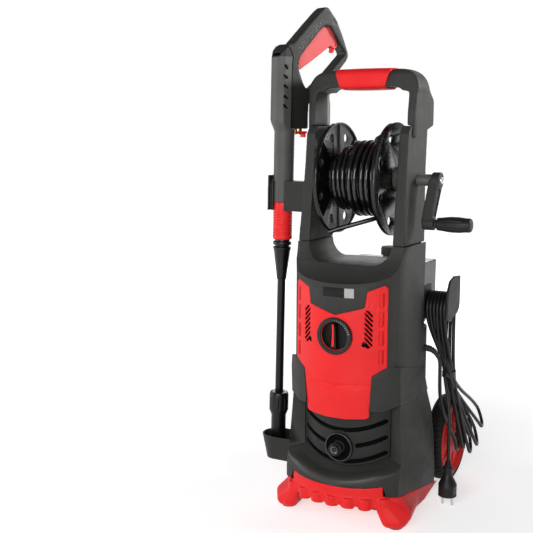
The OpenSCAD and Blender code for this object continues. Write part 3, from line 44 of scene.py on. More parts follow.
# ---------------------------------------------------------------- camera, in the photo's frame
FRAME_PX = 533
FOCAL_PX = 955.75
SENSOR = 36
AZIMUTH, DOWN = math.radians(29.488), math.radians(8.183)
camera_data = bpy.data.cameras.new("camera")
camera = bpy.data.objects.new("camera", camera_data)
bpy.context.scene.collection.objects.link(camera)
camera_data.sensor_width = SENSOR
camera_data.lens = FOCAL_PX * SENSOR / FRAME_PX
camera.location = (0.7417, -1.7874, 0.7391)
looking = Vector((-math.sin(AZIMUTH) * math.cos(DOWN), math.cos(AZIMUTH) * math.cos(DOWN), -math.sin(DOWN)))
camera.rotation_mode = "QUATERNION"
camera.rotation_quaternion = looking.to_track_quat("-Z", "Y")
camera_data.clip_end = 50
bpy.context.scene.camera = camera


# ---------------------------------------------------------------- helpers: meshes
def add_object(name, data, material, body):
    obj = bpy.data.objects.new(name, data)
    bpy.context.scene.collection.objects.link(obj)
    data.materials.clear()
    data.materials.append(material)
    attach(obj, body)
    return obj


def add_mesh(name, bm, material, body, smooth=True, sharp=None):
    """A new piece from a bmesh, in metres, riding on a body."""
    bmesh.ops.remove_doubles(bm, verts=bm.verts, dist=1e-7)
    bmesh.ops.recalc_face_normals(bm, faces=bm.faces)
    mesh = bpy.data.meshes.new(name)
    bm.to_mesh(mesh)
    bm.free()
    for p in mesh.polygons:
        p.use_smooth = smooth
    if sharp:
        mesh.set_sharp_from_angle(angle=math.radians(sharp))
    return add_object(name, mesh, material, body)


def soften(obj, width, angle=30, segments=2):
    """Rounds the edges of a piece and keeps its flat faces flat."""
    for p in obj.data.polygons:
        p.use_smooth = True
    weld = obj.modifiers.new("weld", "WELD")
    weld.merge_threshold = 0.00002
    flat = obj.modifiers.new("flat", "DECIMATE")
    flat.decimate_type = "DISSOLVE"
    flat.angle_limit = math.radians(1.0)
    bevel = obj.modifiers.new("bevel", "BEVEL")
    bevel.width = width * MM
    bevel.segments = segments
    bevel.limit_method = "ANGLE"
    bevel.angle_limit = math.radians(angle)
    bevel.harden_normals = True
    bevel.use_clamp_overlap = True
    return obj


def mould(obj, voxel, passes):
    """Rounds every edge of a moulding by a fine remesh and a few smoothing passes."""
    remesh = obj.modifiers.new("remesh", "REMESH")
    remesh.mode = "VOXEL"
    remesh.voxel_size = voxel * MM
    remesh.use_smooth_shade = True
    smooth = obj.modifiers.new("smooth", "SMOOTH")
    smooth.factor = 0.5
    smooth.iterations = passes
    return obj


def moulded_mesh(name, mesh, voxel, passes):
    """The mesh that mould() makes of a given one."""
    draft = bpy.data.objects.new(name + "_draft", mesh)
    bpy.context.scene.collection.objects.link(draft)
    mould(draft, voxel, passes)
    bpy.context.view_layer.update()
    result = bpy.data.meshes.new_from_object(draft.evaluated_get(bpy.context.evaluated_depsgraph_get()))
    bpy.data.objects.remove(draft)
    return result


def lathe(profile, sides=64, wobble=None, closed=False):
    """A bmesh turned from (radius, height) points about Z; wobble(angle, r, h) gives the radius there."""
    bm = bmesh.new()
    rings = []
    for r, h in profile:
        if r < 1e-7:
            rings.append([bm.verts.new((0, 0, h))])
            continue
        ring = []
        for k in range(sides):
            a = 2 * math.pi * k / sides
            q = wobble(a, r, h) if wobble else r
            ring.append(bm.verts.new((q * math.cos(a), q * math.sin(a), h)))
        rings.append(ring)
    pairs = list(zip(rings, rings[1:]))
    if closed:
        pairs.append((rings[-1], rings[0]))
    for a, b in pairs:
        n = max(len(a), len(b))
        for k in range(n):
            quad = [a[k % len(a)], a[(k + 1) % len(a)], b[(k + 1) % len(b)], b[k % len(b)]]
            quad = [v for i, v in enumerate(quad) if v not in quad[:i]]
            if len(quad) > 2:
                bm.faces.new(quad)
    return bm


def placed(bm, matrix):
    """The same bmesh, moved by a matrix."""
    bmesh.ops.transform(bm, matrix=matrix, verts=bm.verts)
    return bm


def to_axis(place, direction):
    """The matrix that takes the Z axis to a direction through a place in metres."""
    return Matrix.Translation(place) @ Vector(direction).to_track_quat("Z", "Y").to_matrix().to_4x4()


def add_loft(bm, low, high):
    """Adds the closed prism between two loops of as many points each."""
    a = [bm.verts.new(p) for p in low]
    b = [bm.verts.new(p) for p in high]
    bridge(bm, [a, b])
    bm.faces.new(a[::-1])
    bm.faces.new(b)


def bridge(bm, rings, closed=False):
    """Faces between neighbouring rings of as many points each; closed joins the last to the first."""
    n = len(rings[0])
    following = rings[1:] + (rings[:1] if closed else [])
    for a, b in zip(rings, following):
        for k in range(n):
            bm.faces.new((a[k], a[(k + 1) % n], b[(k + 1) % n], b[k]))


# ---------------------------------------------------------------- helpers: lines and tubes
def catmull(points, step):
    """Points about step apart on one smooth line through the given ones."""
    pts = [Vector(p) for p in points]
    pts = [2 * pts[0] - pts[1]] + pts + [2 * pts[-1] - pts[-2]]
    line = []
    for a, b, c, d in zip(pts, pts[1:], pts[2:], pts[3:]):
        # Centripetal knots keep the line from looping where points lie close together
        t1 = (b - a).length ** 0.5
        t2 = t1 + (c - b).length ** 0.5
        t3 = t2 + (d - c).length ** 0.5
        n = max(2, round((c - b).length / step))
        for k in range(n):
            t = t1 + (t2 - t1) * k / n
            ab = a.lerp(b, t / t1)
            bc = b.lerp(c, (t - t1) / (t2 - t1))
            cd = c.lerp(d, (t - t2) / (t3 - t2))
            line.append(ab.lerp(bc, t / t2).lerp(bc.lerp(cd, (t - t1) / (t3 - t1)), (t - t1) / (t2 - t1)))
    line.append(pts[-2])
    return line


def bend(start, ahead, end, into, step, reach=0.3):
    """Points on a Bezier curve that leaves start along ahead and enters end along into."""
    span = (end - start).length
    b, c = start + ahead * span * reach, end - into * span * reach
    n = max(3, round(span / step))
    out = []
    for k in range(1, n + 1):
        t = k / n
        s = 1 - t
        out.append(start * s ** 3 + b * 3 * s * s * t + c * 3 * s * t * t + end * t ** 3)
    return out


def tube_curve(name, line, radius, material, body, resolution=5):
    """A round tube along a line, as a curve of one open spline."""
    curve = bpy.data.curves.new(name, "CURVE")
    curve.dimensions = "3D"
    curve.bevel_depth = radius
    curve.bevel_resolution = resolution
    curve.use_fill_caps = True
    spline = curve.splines.new("POLY")
    spline.points.add(len(line) - 1)
    for p, q in zip(spline.points, line):
        p.co = (*q, 1)
    spline.use_smooth = True
    return add_object(name, curve, material, body)


def ring_frames(line):
    """An unturning pair of side directions along a line."""
    frames = []
    side = (line[1] - line[0]).normalized().orthogonal().normalized()
    for i, p in enumerate(line):
        ahead = (line[min(i + 1, len(line) - 1)] - line[max(i - 1, 0)]).normalized()
        side = (side - ahead * side.dot(ahead)).normalized()
        frames.append((p, side, ahead.cross(side)))
    return frames


def swept(name, line, radii, material, body, sides=24):
    """A solid swept along a line, with a radius at each point."""
    bm = bmesh.new()
    rings = []
    for (p, u, v), r in zip(ring_frames(line), radii):
        turns = [2 * math.pi * k / sides for k in range(sides)]
        rings.append([bm.verts.new(p + r * (math.cos(a) * u + math.sin(a) * v)) for a in turns])
    bridge(bm, rings)
    bm.faces.new(rings[0][::-1])
    bm.faces.new(rings[-1])
    return add_mesh(name, bm, material, body)


# ---------------------------------------------------------------- helpers: materials
def shader(name):
    material = bpy.data.materials.new(name)
    material.use_nodes = True
    tree = material.node_tree
    return material, tree, tree.nodes["Principled BSDF"]


def link(tree, out, into):
    tree.links.new(out, into)


def noise_node(tree, scale, detail=3.0, rough=0.5):
    coord = tree.nodes.new("ShaderNodeTexCoord")
    n = tree.nodes.new("ShaderNodeTexNoise")
    n.inputs["Scale"].default_value = scale
    n.inputs["Detail"].default_value = detail
    n.inputs["Roughness"].default_value = rough
    link(tree, coord.outputs["Object"], n.inputs["Vector"])
    return n


def ramp(tree, source, low, high, a, b, soft=False):
    """Maps a value between low and high onto a to b."""
    m = tree.nodes.new("ShaderNodeMapRange")
    m.interpolation_type = "SMOOTHSTEP" if soft else "LINEAR"
    for key, value in (("From Min", low), ("From Max", high), ("To Min", a), ("To Max", b)):
        m.inputs[key].default_value = value
    link(tree, source, m.inputs["Value"])
    return m.outputs["Result"]


def maths(tree, operation, a, b):
    m = tree.nodes.new("ShaderNodeMath")
    m.operation = operation
    for socket, value in zip(m.inputs, (a, b)):
        if isinstance(value, (int, float)):
            socket.default_value = value
        else:
            link(tree, value, socket)
    return m.outputs["Value"]


def mix(tree, factor, a, b):
    m = tree.nodes.new("ShaderNodeMix")
    m.data_type = "RGBA"
    link(tree, factor, m.inputs["Factor"])
    for socket, value in ((m.inputs["A"], a), (m.inputs["B"], b)):
        if isinstance(value, tuple):
            socket.default_value = (*value, 1)
        else:
            link(tree, value, socket)
    return m.outputs["Result"]


def bumps(tree, bsdf, layers):
    """Bump from noise layers of (scale, strength, distance in mm)."""
    normal = None
    for scale, strength, distance in layers:
        b = tree.nodes.new("ShaderNodeBump")
        b.inputs["Strength"].default_value = strength
        b.inputs["Distance"].default_value = distance * MM
        link(tree, noise_node(tree, scale, 2.0).outputs["Fac"], b.inputs["Height"])
        if normal:
            link(tree, normal, b.inputs["Normal"])
        normal = b.outputs["Normal"]
    link(tree, normal, bsdf.inputs["Normal"])


CLOUD_SCALE = 22                            # noise scale of the clouds in a moulding's colour
GLOSS_SPREAD = 0.06                         # how far a moulding's roughness strays either way


def plastic(name, base, light, rough, layers, wear=0.0, specular=0.5, painted_shade_above=None):
    """Moulded plastic: cloudy colour, uneven gloss, fine grain, edges rubbed lighter, and painted shade above
    a given height.
    """
    material, tree, bsdf = shader(name)
    cloud = noise_node(tree, CLOUD_SCALE, 4.0, 0.6)
    colour = mix(tree, ramp(tree, cloud.outputs["Fac"], 0.3, 0.7, 0.0, 1.0), base, light)
    if painted_shade_above:
        # Above a height the piece is painted darker, as painted shade on its upper end
        height, dark = painted_shade_above
        split = tree.nodes.new("ShaderNodeSeparateXYZ")
        link(tree, tree.nodes.new("ShaderNodeTexCoord").outputs["Object"], split.inputs["Vector"])
        above = ramp(tree, split.outputs["Z"], height - 0.0002, height + 0.0002, 0.0, 1.0)
        colour = mix(tree, above, colour, dark)
    if wear:
        geometry = tree.nodes.new("ShaderNodeNewGeometry")
        scuffs = noise_node(tree, 140, 5.0, 0.7)
        edge = ramp(tree, geometry.outputs["Pointiness"], 0.53, 0.62, 0.0, wear)
        rubbed = maths(tree, "MULTIPLY", edge, ramp(tree, scuffs.outputs["Fac"], 0.4, 0.6, 0.2, 1.0))
        pale = tuple(min(1.0, c * 1.5 + 0.03) for c in light)
        colour = mix(tree, rubbed, colour, pale)
    link(tree, colour, bsdf.inputs["Base Color"])
    dull = noise_node(tree, 45, 3.0, 0.6)
    uneven = ramp(tree, dull.outputs["Fac"], 0.3, 0.7, rough - GLOSS_SPREAD, rough + GLOSS_SPREAD)
    link(tree, uneven, bsdf.inputs["Roughness"])
    bsdf.inputs["Specular IOR Level"].default_value = specular
    bumps(tree, bsdf, layers)
    return material


def metal(name, base, light, rough, scale=300, stretch=(1, 1, 12)):
    """Metal whose grain, drawn out along Z, varies its colour, gloss and surface."""
    material, tree, bsdf = shader(name)
    coord = tree.nodes.new("ShaderNodeTexCoord")
    mapping = tree.nodes.new("ShaderNodeMapping")
    mapping.inputs["Scale"].default_value = stretch
    link(tree, coord.outputs["Object"], mapping.inputs["Vector"])
    grain = tree.nodes.new("ShaderNodeTexNoise")
    grain.inputs["Scale"].default_value = scale
    grain.inputs["Detail"].default_value = 4
    link(tree, mapping.outputs["Vector"], grain.inputs["Vector"])
    link(tree, mix(tree, grain.outputs["Fac"], base, light), bsdf.inputs["Base Color"])
    uneven = ramp(tree, grain.outputs["Fac"], 0.3, 0.7, rough - 0.08, rough + 0.1)
    link(tree, uneven, bsdf.inputs["Roughness"])
    bsdf.inputs["Metallic"].default_value = 1.0
    bump = tree.nodes.new("ShaderNodeBump")
    bump.inputs["Strength"].default_value = 0.15
    bump.inputs["Distance"].default_value = 0.0002
    link(tree, grain.outputs["Fac"], bump.inputs["Height"])
    link(tree, bump.outputs["Normal"], bsdf.inputs["Normal"])
    return material


GRAIN = [(2600, 0.22, 0.22), (420, 0.10, 0.25)]
FINE = [(3200, 0.12, 0.15)]
SKIN = [(1800, 0.2, 0.25), (300, 0.1, 0.3)]
case_black = plastic("case_black", (0.030, 0.030, 0.028), (0.036, 0.036, 0.033), 0.58,
                     GRAIN, wear=0.3, specular=0.22)
trim_black = plastic("trim_black", (0.010, 0.010, 0.010), (0.014, 0.014, 0.0135), 0.44,
                     FINE, wear=0.3, specular=0.25)
lance_black = plastic("lance_black", (0.003, 0.003, 0.003), (0.005, 0.005, 0.005), 0.34,
                      FINE, wear=0.1, specular=0.3)
bezel_black = plastic("bezel_black", (0.017, 0.018, 0.018), (0.022, 0.023, 0.023), 0.42,
                      FINE, wear=0.2, specular=0.25)
hook_black = plastic("hook_black", (0.012, 0.012, 0.0115), (0.016, 0.016, 0.015), 0.5,
                     GRAIN, wear=0.3, specular=0.2)
knob_black = plastic("knob_black", (0.004, 0.004, 0.004), (0.006, 0.006, 0.006), 0.4,
                     FINE, wear=0.3, specular=0.12)
reel_black = plastic("reel_black", (0.004, 0.004, 0.004), (0.006, 0.006, 0.006), 0.26,
                     FINE, wear=0.2, specular=0.35)
grip_black = plastic("grip_black", (0.020, 0.020, 0.019), (0.026, 0.026, 0.024), 0.50,
                     GRAIN, wear=0.25, specular=0.25)
grille_black = plastic("grille_black", (0.013, 0.013, 0.012), (0.017, 0.017, 0.016), 0.50,
                       GRAIN, wear=0.2, specular=0.25)
# Above 877 mm the barrel cover is painted near black: painted shade on its top end
cover_grey = plastic("cover_grey", (0.075, 0.075, 0.070), (0.090, 0.090, 0.084), 0.48,
                     GRAIN, wear=0.25, specular=0.25,
                     painted_shade_above=(0.877, (0.012, 0.012, 0.012)))
ridge_grey = plastic("ridge_grey", (0.15, 0.15, 0.145), (0.18, 0.18, 0.175), 0.45, FINE)
red_gloss = plastic("red_gloss", (0.86, 0.019, 0.021), (0.91, 0.026, 0.027), 0.44,
                    FINE, wear=0.1, specular=0.25)
red_pale = plastic("red_pale", (0.66, 0.085, 0.085), (0.72, 0.10, 0.10), 0.48,
                   FINE, wear=0.1, specular=0.25)
# Darker copy of the panel's red, as painted shade along the panel's recesses
red_painted_shade = plastic("red_painted_shade", (0.50, 0.006, 0.009), (0.56, 0.009, 0.012), 0.5, FINE, specular=0.2)
red_soft = plastic("red_soft", (0.84, 0.013, 0.016), (0.89, 0.019, 0.021), 0.56,
                   SKIN, wear=0.1, specular=0.25)
tank_black = plastic("tank_black", (0.030, 0.030, 0.031), (0.042, 0.042, 0.042), 0.36,
                     [(500, 0.15, 0.4)], wear=0.1)
rubber_black = plastic("rubber_black", (0.010, 0.010, 0.010), (0.017, 0.017, 0.016), 0.58,
                       [(900, 0.3, 0.2)], wear=0.2)
lead_black = plastic("lead_black", (0.006, 0.006, 0.0055), (0.009, 0.009, 0.0085), 0.42,
                     [(1500, 0.1, 0.1)], specular=0.3)
hose_black = plastic("hose_black", (0.004, 0.004, 0.004), (0.008, 0.008, 0.008), 0.16,
                     [(700, 0.12, 0.15)], specular=0.55)
tyre_black = plastic("tyre_black", (0.010, 0.010, 0.009), (0.015, 0.015, 0.014), 0.7,
                     [(1200, 0.4, 0.3)], wear=0.15, specular=0.2)
coat_black = plastic("coat_black", (0.0035, 0.0035, 0.0035), (0.006, 0.006, 0.006), 0.32,
                     [(1400, 0.3, 0.15)], wear=0.1, specular=0.3)
# Near black, for sheets that stand in as painted shade behind openings and inside the seam
shade_sheet_black = plastic("shade_sheet_black", (0.003, 0.003, 0.003), (0.006, 0.006, 0.006), 0.9,
                     [(700, 0.8, 0.6)], specular=0.1)
plate_black = plastic("plate_black", (0.004, 0.004, 0.004), (0.006, 0.006, 0.006), 0.35, FINE, specular=0.2)
plate_grey = plastic("plate_grey", (0.40, 0.39, 0.38), (0.50, 0.48, 0.47), 0.34, FINE)
mark_grey = plastic("mark_grey", (0.26, 0.26, 0.25), (0.33, 0.33, 0.32), 0.5, FINE)
# Lighter and glossier than case_black: a painted highlight on the crest of the sill's lip
lip_highlight_black = plastic("lip_highlight_black", (0.036, 0.036, 0.033), (0.042, 0.042, 0.039), 0.42, GRAIN, specular=0.35)
# Lighter than the grille's black: a painted highlight on the inlet's rim
rim_highlight_grey = plastic("rim_highlight_grey", (0.045, 0.045, 0.043), (0.055, 0.055, 0.052), 0.4, FINE)
# Near black: dark joints, and painted shade in the inlet's cup, the vents' foot openings and the cover's
# recesses
gap_and_shade_black = plastic("gap_and_shade_black", (0.002, 0.002, 0.002), (0.003, 0.003, 0.003), 0.8, FINE, specular=0.05)
steel = metal("steel", (0.52, 0.52, 0.53), (0.66, 0.66, 0.66), 0.3)
brass = metal("brass", (0.60, 0.43, 0.17), (0.72, 0.54, 0.25), 0.32, 220)
alloy = metal("alloy", (0.50, 0.50, 0.51), (0.62, 0.62, 0.62), 0.45, 160, (1, 1, 1))
iron = metal("iron", (0.20, 0.20, 0.21), (0.30, 0.30, 0.31), 0.5, 500, (1, 1, 30))

FINISH = {
    case_black: "front_housing rear_housing left_column right_column handle_bow tank_cap axle_caps",
    grille_black: "lower_grille water_inlet",
    grip_black: "crank_arm gun_shell_left gun_shell_right gun_bracket lance_cup",
    bezel_black: "knob_bezel",
    knob_black: "power_knob",
    hook_black: "cord_hook",
    trim_black: "power_switch crank_grip hose_end plug_body trigger_pin",
    lance_black: "lance_collar nozzle_head",
    reel_black: "reel_drum left_flange right_flange",
    cover_grey: "barrel_cover reel_axle",
    red_pale: "trigger",
    red_gloss: "base_tray front_panel knob_pointer safety_latch hose_clip lance_sleeve"
               " left_wheel right_wheel",
    red_soft: "handle_grip",
    tank_black: "detergent_tank",
    rubber_black: "foot_pads cord_gland cord_hank cord_tube",
    hose_black: "hose_winding",
    tyre_black: "left_tyre right_tyre",
    coat_black: "lance_tube",
    plate_black: "badge_plate",
    steel: "inlet_filter wheel_axle crank_bolt motor_rotor pressure_pipe plug_pins screws",
    iron: "motor_stator",
    alloy: "pump_body",
    brass: "gun_valve pump_head",
}
for material, names in FINISH.items():
    for name in names.split():
        data = nodes[name].data
        data.materials.clear()
        data.materials.append(material)
        for p in data.polygons:
            p.material_index = 0

# Pieces that only have their edges rounded, by edge width in mm
EDGES = {
    0.9: "front_housing rear_housing knob_bezel power_knob",
    0.7: "tank_cap left_wheel right_wheel axle_caps water_inlet",
    0.5: "left_flange right_flange lance_sleeve nozzle_head lance_collar safety_latch hose_clip"
         " reel_axle foot_pads",
    0.3: "badge_plate knob_pointer lance_tube screws crank_bolt plug_pins wheel_axle inlet_filter"
         " power_switch",
}
for width, names in EDGES.items():
    for name in names.split():
        soften(nodes[name], width)

# Mouldings that are rounded all over, by voxel size in mm and smoothing passes
SOFT = {
    (1.6, 40): "handle_bow",
    (1.3, 12): "left_column right_column",
    (1.2, 14): "detergent_tank base_tray",
    (0.9, 8): "barrel_cover crank_arm cord_hook gun_bracket lance_cup",
    (0.8, 4): "trigger lower_grille",
}
for (voxel, passes), names in SOFT.items():
    for name in names.split():
        mould(nodes[name], voxel, passes)

# ---------------------------------------------------------------- mains lead
LEAD_R = 3.5 * MM
STEP = 4 * MM
HOOK = Vector((0, -8, 391)) * MM            # axis of the hook's round arm
TURN = 30.6 * MM                            # radius of the lead's middle over the arm
FOLD_R = 22.5 * MM                          # radius of the folds at the bottom
TIE = Vector((146.4, 4.6, 259)) * MM
PLUG = Vector((162, -34, 0)) * MM           # under the plug, on the floor
FAN = 4                                     # how soon the strands below the tie head for their folds
DOWN_Z, UP_Z = Vector((0, 0, -1)), Vector((0, 0, 1))
hook_at = [147.0, 140.0, 133.0, 126.0, 119.0, 112.4]
# Middle of each fold, and how far the loop's plane leans out of the side view
folds = [(144, 72, 104, -12), (148, 142, 78, -12), (151, 172, 86, -14), (157, 178, 126, -12),
         (144, 108, 96, -14), (150, 130, 118, -10)]
# Where the strands pass the tie: going down to a fold, and coming up from it
tie_slots = [(153.5, 11.0), (153.5, 3.8), (146.5, 14.6), (146.5, 7.6), (139.5, 11.0), (139.5, 4.0),
             (153.4, -3.4), (146.5, 0.4), (139.5, -3.2), (146.5, -6.8), (151.6, -10.4), (141.6, -10.4)]


def fold(centre, along, across):
    """Half a turn round a fold's middle, from its near side to its far side."""
    turns = [math.pi * k / 14 for k in range(15)]
    return [centre - FOLD_R * (math.cos(a) * across - math.sin(a) * along) for a in turns]


def lead_points():
    """The whole route: gland, six loops over the hook and through the tie, and down to the plug."""
    start = [(95, -36, 314), (104, -36, 314)]
    for k in range(7):
        a = math.pi * k / 12
        start.append((112 + 30 * math.sin(a), -36 - 4 * math.sin(a) ** 2, 284 + 30 * math.cos(a)))
    start += [(142.6, -41, 264), (142.8, -40.6, 244), (142.9, -37, 222), (143, -29, 202), (143.4, -17, 182)]
    line = catmull([Vector(p) * MM for p in start], STEP)
    heading = (line[-1] - line[-3]).normalized()
    for i, (x, y, z, lean) in enumerate(folds):
        centre = Vector((x, y, z)) * MM
        along = (centre - TIE).normalized()
        fan_out, fan_in = (DOWN_Z + along * FAN).normalized(), (UP_Z - along * FAN).normalized()
        out = Vector((math.sin(math.radians(lean)), math.cos(math.radians(lean)), 0))
        across = (out - along * out.dot(along)).normalized()
        turn = fold(centre, along, across)
        line += bend(line[-1], heading if i == 0 else fan_out, turn[0], along, STEP)
        line += turn[1:]
        up = Vector((*tie_slots[2 * i], TIE.z / MM)) * MM
        line += bend(line[-1], -along, up, fan_in, STEP)
        arc_x = hook_at[i] * MM
        line += bend(up, fan_in, Vector((arc_x, HOOK.y + TURN, HOOK.z)), UP_Z, STEP)
        for k in range(1, 19):
            a = math.pi * k / 18
            line.append(Vector((arc_x, HOOK.y + TURN * math.cos(a), HOOK.z + TURN * math.sin(a))))
        down = Vector((*tie_slots[2 * i + 1], TIE.z / MM)) * MM
        x, y, z, lean = folds[min(i + 1, len(folds) - 1)]
        leaving = (DOWN_Z + FAN * (Vector((x, y, z)) * MM - TIE).normalized()).normalized()
        if i == len(folds) - 1:
            leaving = DOWN_Z
        line += bend(line[-1], DOWN_Z, down, leaving, STEP)
    last = [(152, -18, 214), (157.4, -24, 190), (161, -30, 166), (162, -33.4, 146), (162, -34, 130),
            (162, -34, 112), (162, -34, 92)]
    line += catmull([line[-1]] + [Vector(p) * MM for p in last], STEP)[1:]
    return line


lead_line = lead_points()
mains_lead = tube_curve("mains_lead", lead_line, LEAD_R, lead_black, "case", 4)
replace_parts(mains_lead, "cord_tube", "cord_hank")


def make_tie():
    """Rubber band round the loops, in two turns, a little wavy."""
    reach = Vector((11.6, 16.6)) * MM
    section = ((0, -5), (1.2, -5.5), (1.6, -3), (0.9, 0), (1.6, 3), (1.2, 5.5), (0, 5), (-0.4, 0))
    sides = 48
    bm = bmesh.new()
    rings = []
    for k in range(sides):
        a = 2 * math.pi * k / sides
        wave = Vector((0, -2.4, 0.4 * math.sin(3 * a))) * MM
        place = TIE + Vector((reach.x * math.cos(a), reach.y * math.sin(a), 0)) + wave
        out = Vector((math.cos(a) / reach.x, math.sin(a) / reach.y, 0)).normalized()
        rings.append([bm.verts.new(place + out * o * MM + UP_Z * h * MM) for o, h in section])
    bridge(bm, rings, closed=True)
    return add_mesh("lead_tie", bm, rubber_black, "case")


def make_boot():
    """Tapered, ribbed strain relief where the lead leaves the case."""
    line = [p for p in lead_line if (p - lead_line[0]).length > 8 * MM][:11]
    line = catmull(line, 0.8 * MM)
    radii = []
    for i in range(len(line)):
        s = 40 * i / (len(line) - 1)
        r = 9.4 if s < 2.6 else 7.4 - 3.0 * (s - 2.6) / 37.4
        if s > 5 and (s % 4.4) < 1.6:
            r -= 1.1
        radii.append(max(r, 4.1) * MM)
    return swept("lead_boot", line, radii, rubber_black, "case")


def plug_wobble(angle, r, h):
    """Two flats for the fingers, finely ribbed."""
    height = h / MM
    if 21 < height < 41:
        flat = max(0.0, abs(math.cos(angle)) - 0.80) / 0.20
        r -= flat * 3.2 * MM * (1 - 0.25 * ((height % 4) < 1.6))
    return r


def make_plug():
    """Round moulded plug with a ribbed neck, standing on its pins."""
    profile = [(0, 20), (16.6, 20), (17.6, 20.3), (18.2, 21)] + [(19, 22 + i) for i in range(18)]
    profile += [(18.4, 42.4), (17.4, 46), (14.2, 52), (11.4, 57), (9.4, 63), (8.5, 68), (8.4, 72), (9.9, 74),
                (10.2, 76.5), (9.9, 79), (7.4, 80.4)]
    for i in range(5):
        z, r = 81 + i * 2.2, 7.0 - 0.45 * i
        profile += [(r, z), (r, z + 1.1), (r - 1.1, z + 1.3), (r - 1.1, z + 2.0)]
    profile += [(4.0, 92), (0, 92)]
    bm = lathe([(r * MM, h * MM) for r, h in profile], 72, plug_wobble)
    return add_mesh("plug", placed(bm, Matrix.Translation(PLUG)), trim_black, "case", sharp=40)


lead_tie, lead_boot, plug = make_tie(), make_boot(), make_plug()
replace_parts(lead_boot, "cord_gland")
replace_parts(plug, "plug_body")

# ---------------------------------------------------------------- front of the case
BOW_Y, BOW_R = -60, 160                     # the front's bow: its centre and radius
KNOB_Z = 361
DIAL_Y, RING_Y = -226.12, -219.4            # faces that carry the dial's ticks and the knob's ring
INLET_Z = 141
SEAM_Z = 525                                # joint between the case and the columns
SILL_R = 172.2                              # outer radius of the case at the middle of the sill
SILL_Y, SILL_Z, SILL_SLOPE = -194, 105, 0.55
RECESSES, RECESS_STEP = 4, 35               # shallow recesses along each side of the panel


def on_bow(r, x, z):
    """The place in metres on the bow of radius r, at x and z in mm."""
    return Vector((x, BOW_Y - math.sqrt(r * r - x * x), z)) * MM


def ease(t):
    """A soft step from 0 to 1."""
    t = min(1.0, max(0.0, t))
    return t * t * (3 - 2 * t)


def panel_relief(x, z):
    """How far the panel's face lies behind its bow (mm): a V crease, and a border along the foot."""
    crease_z, rise, half, depth = 271, 0.29, 60, 2.7
    side = abs(x)
    below = crease_z + rise * side - z
    crease = depth * ease(below / 7) * (1 - ease((below - 7) / 44))
    crease *= 1 - ease((side - half * 0.45) / (half * 0.55))
    border = 0.6 * ease((216 + 0.0028 * x * x - z) / 3)
    return crease + border + (1.0 if in_recess(x, z) else 0.0)


def make_panel():
    mesh = moulded_mesh("panel_skin", nodes["front_panel"].data.copy(), 0.8, 2)
    panel = add_object("panel_skin", mesh, red_gloss, "case")
    for v in panel.data.vertices:
        x, y, z = v.co / MM
        r = math.hypot(x, y - BOW_Y)
        if abs(r - BOW_R) < 0.35:
            k = (BOW_R - panel_relief(x, z)) / r
            v.co = Vector((x * k, BOW_Y + (y - BOW_Y) * k, z)) * MM
    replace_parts(panel, "front_panel")


def curved_plate(name, x0, x1, z0, z1, r0, r1, material):
    """A thin plate bent to the front's bow, between two places in x, in z and in radius."""
    steps = 12
    bm = bmesh.new()
    rings = []
    for k in range(steps + 1):
        x = x0 + (x1 - x0) * k / steps
        ring = []
        for r, z in ((r0, z0), (r0, z1), (r1, z1), (r1, z0)):
            ring.append(bm.verts.new(on_bow(r, x, z)))
        rings.append(ring)
    bridge(bm, rings)
    bm.faces.new(rings[0])
    bm.faces.new(rings[-1])
    return soften(add_mesh(name, bm, material, "case"), 0.12)


def make_shade_sheets():
    """Black sheets behind the grille's slots and behind the panel's vents, as painted shade in the openings.
    """
    shade_sheets = [curved_plate("grille_shade_sheet", -84, 84, 100, 222, 119.5, 121.5, shade_sheet_black),
            curved_plate("vent_shade_sheet_left", -74, -46, 336, 420, 149.5, 151.5, shade_sheet_black),
            curved_plate("vent_shade_sheet_right", 46, 74, 336, 420, 149.5, 151.5, shade_sheet_black)]


def make_seam_cores():
    """Black tongues inside the columns' feet, so that no light passes through the seam."""
    plan = ((87, -155), (102.5, -155), (103.5, -56), (87, -56))
    for side, name in ((-1, "left"), (1, "right")):
        loops = [[Vector((side * x, y, z)) * MM for x, y in plan] for z in (SEAM_Z - 6.5, SEAM_Z + 6.5)]
        bm = bmesh.new()
        add_loft(bm, *loops)
        add_mesh("seam_core_" + name, bm, shade_sheet_black, "case", smooth=False)


def make_inlet_face():
    """Painted shade on the floor of the inlet's cup, a painted highlight on its fine rim, and the bright ring
    on its spigot.
    """
    shade = [(12.7, 0), (25.4, 0), (25.4, 0.4), (12.7, 0.4)]
    rim = [(25.6, 0), (27.4, 0), (27.2, 0.7), (26.5, 1.0), (25.8, 0.7)]
    ring = [(10.3, 0), (12.4, 0), (12.4, 2.6), (10.3, 2.6)]
    pieces = (("inlet_shade", shade, -195.1, gap_and_shade_black, "black_trim"),
              ("inlet_rim", rim, -198.9, rim_highlight_grey, "black_trim"),
              ("inlet_ring", ring, -204, steel, "steel"))
    for name, profile, y, material, slot in pieces:
        bm = lathe([(r * MM, h * MM) for r, h in profile], 96, closed=True)
        facing = to_axis(Vector((0, y, INLET_Z)) * MM, (0, -1, 0))
        add_mesh(name, placed(bm, facing), material, "case", sharp=35)


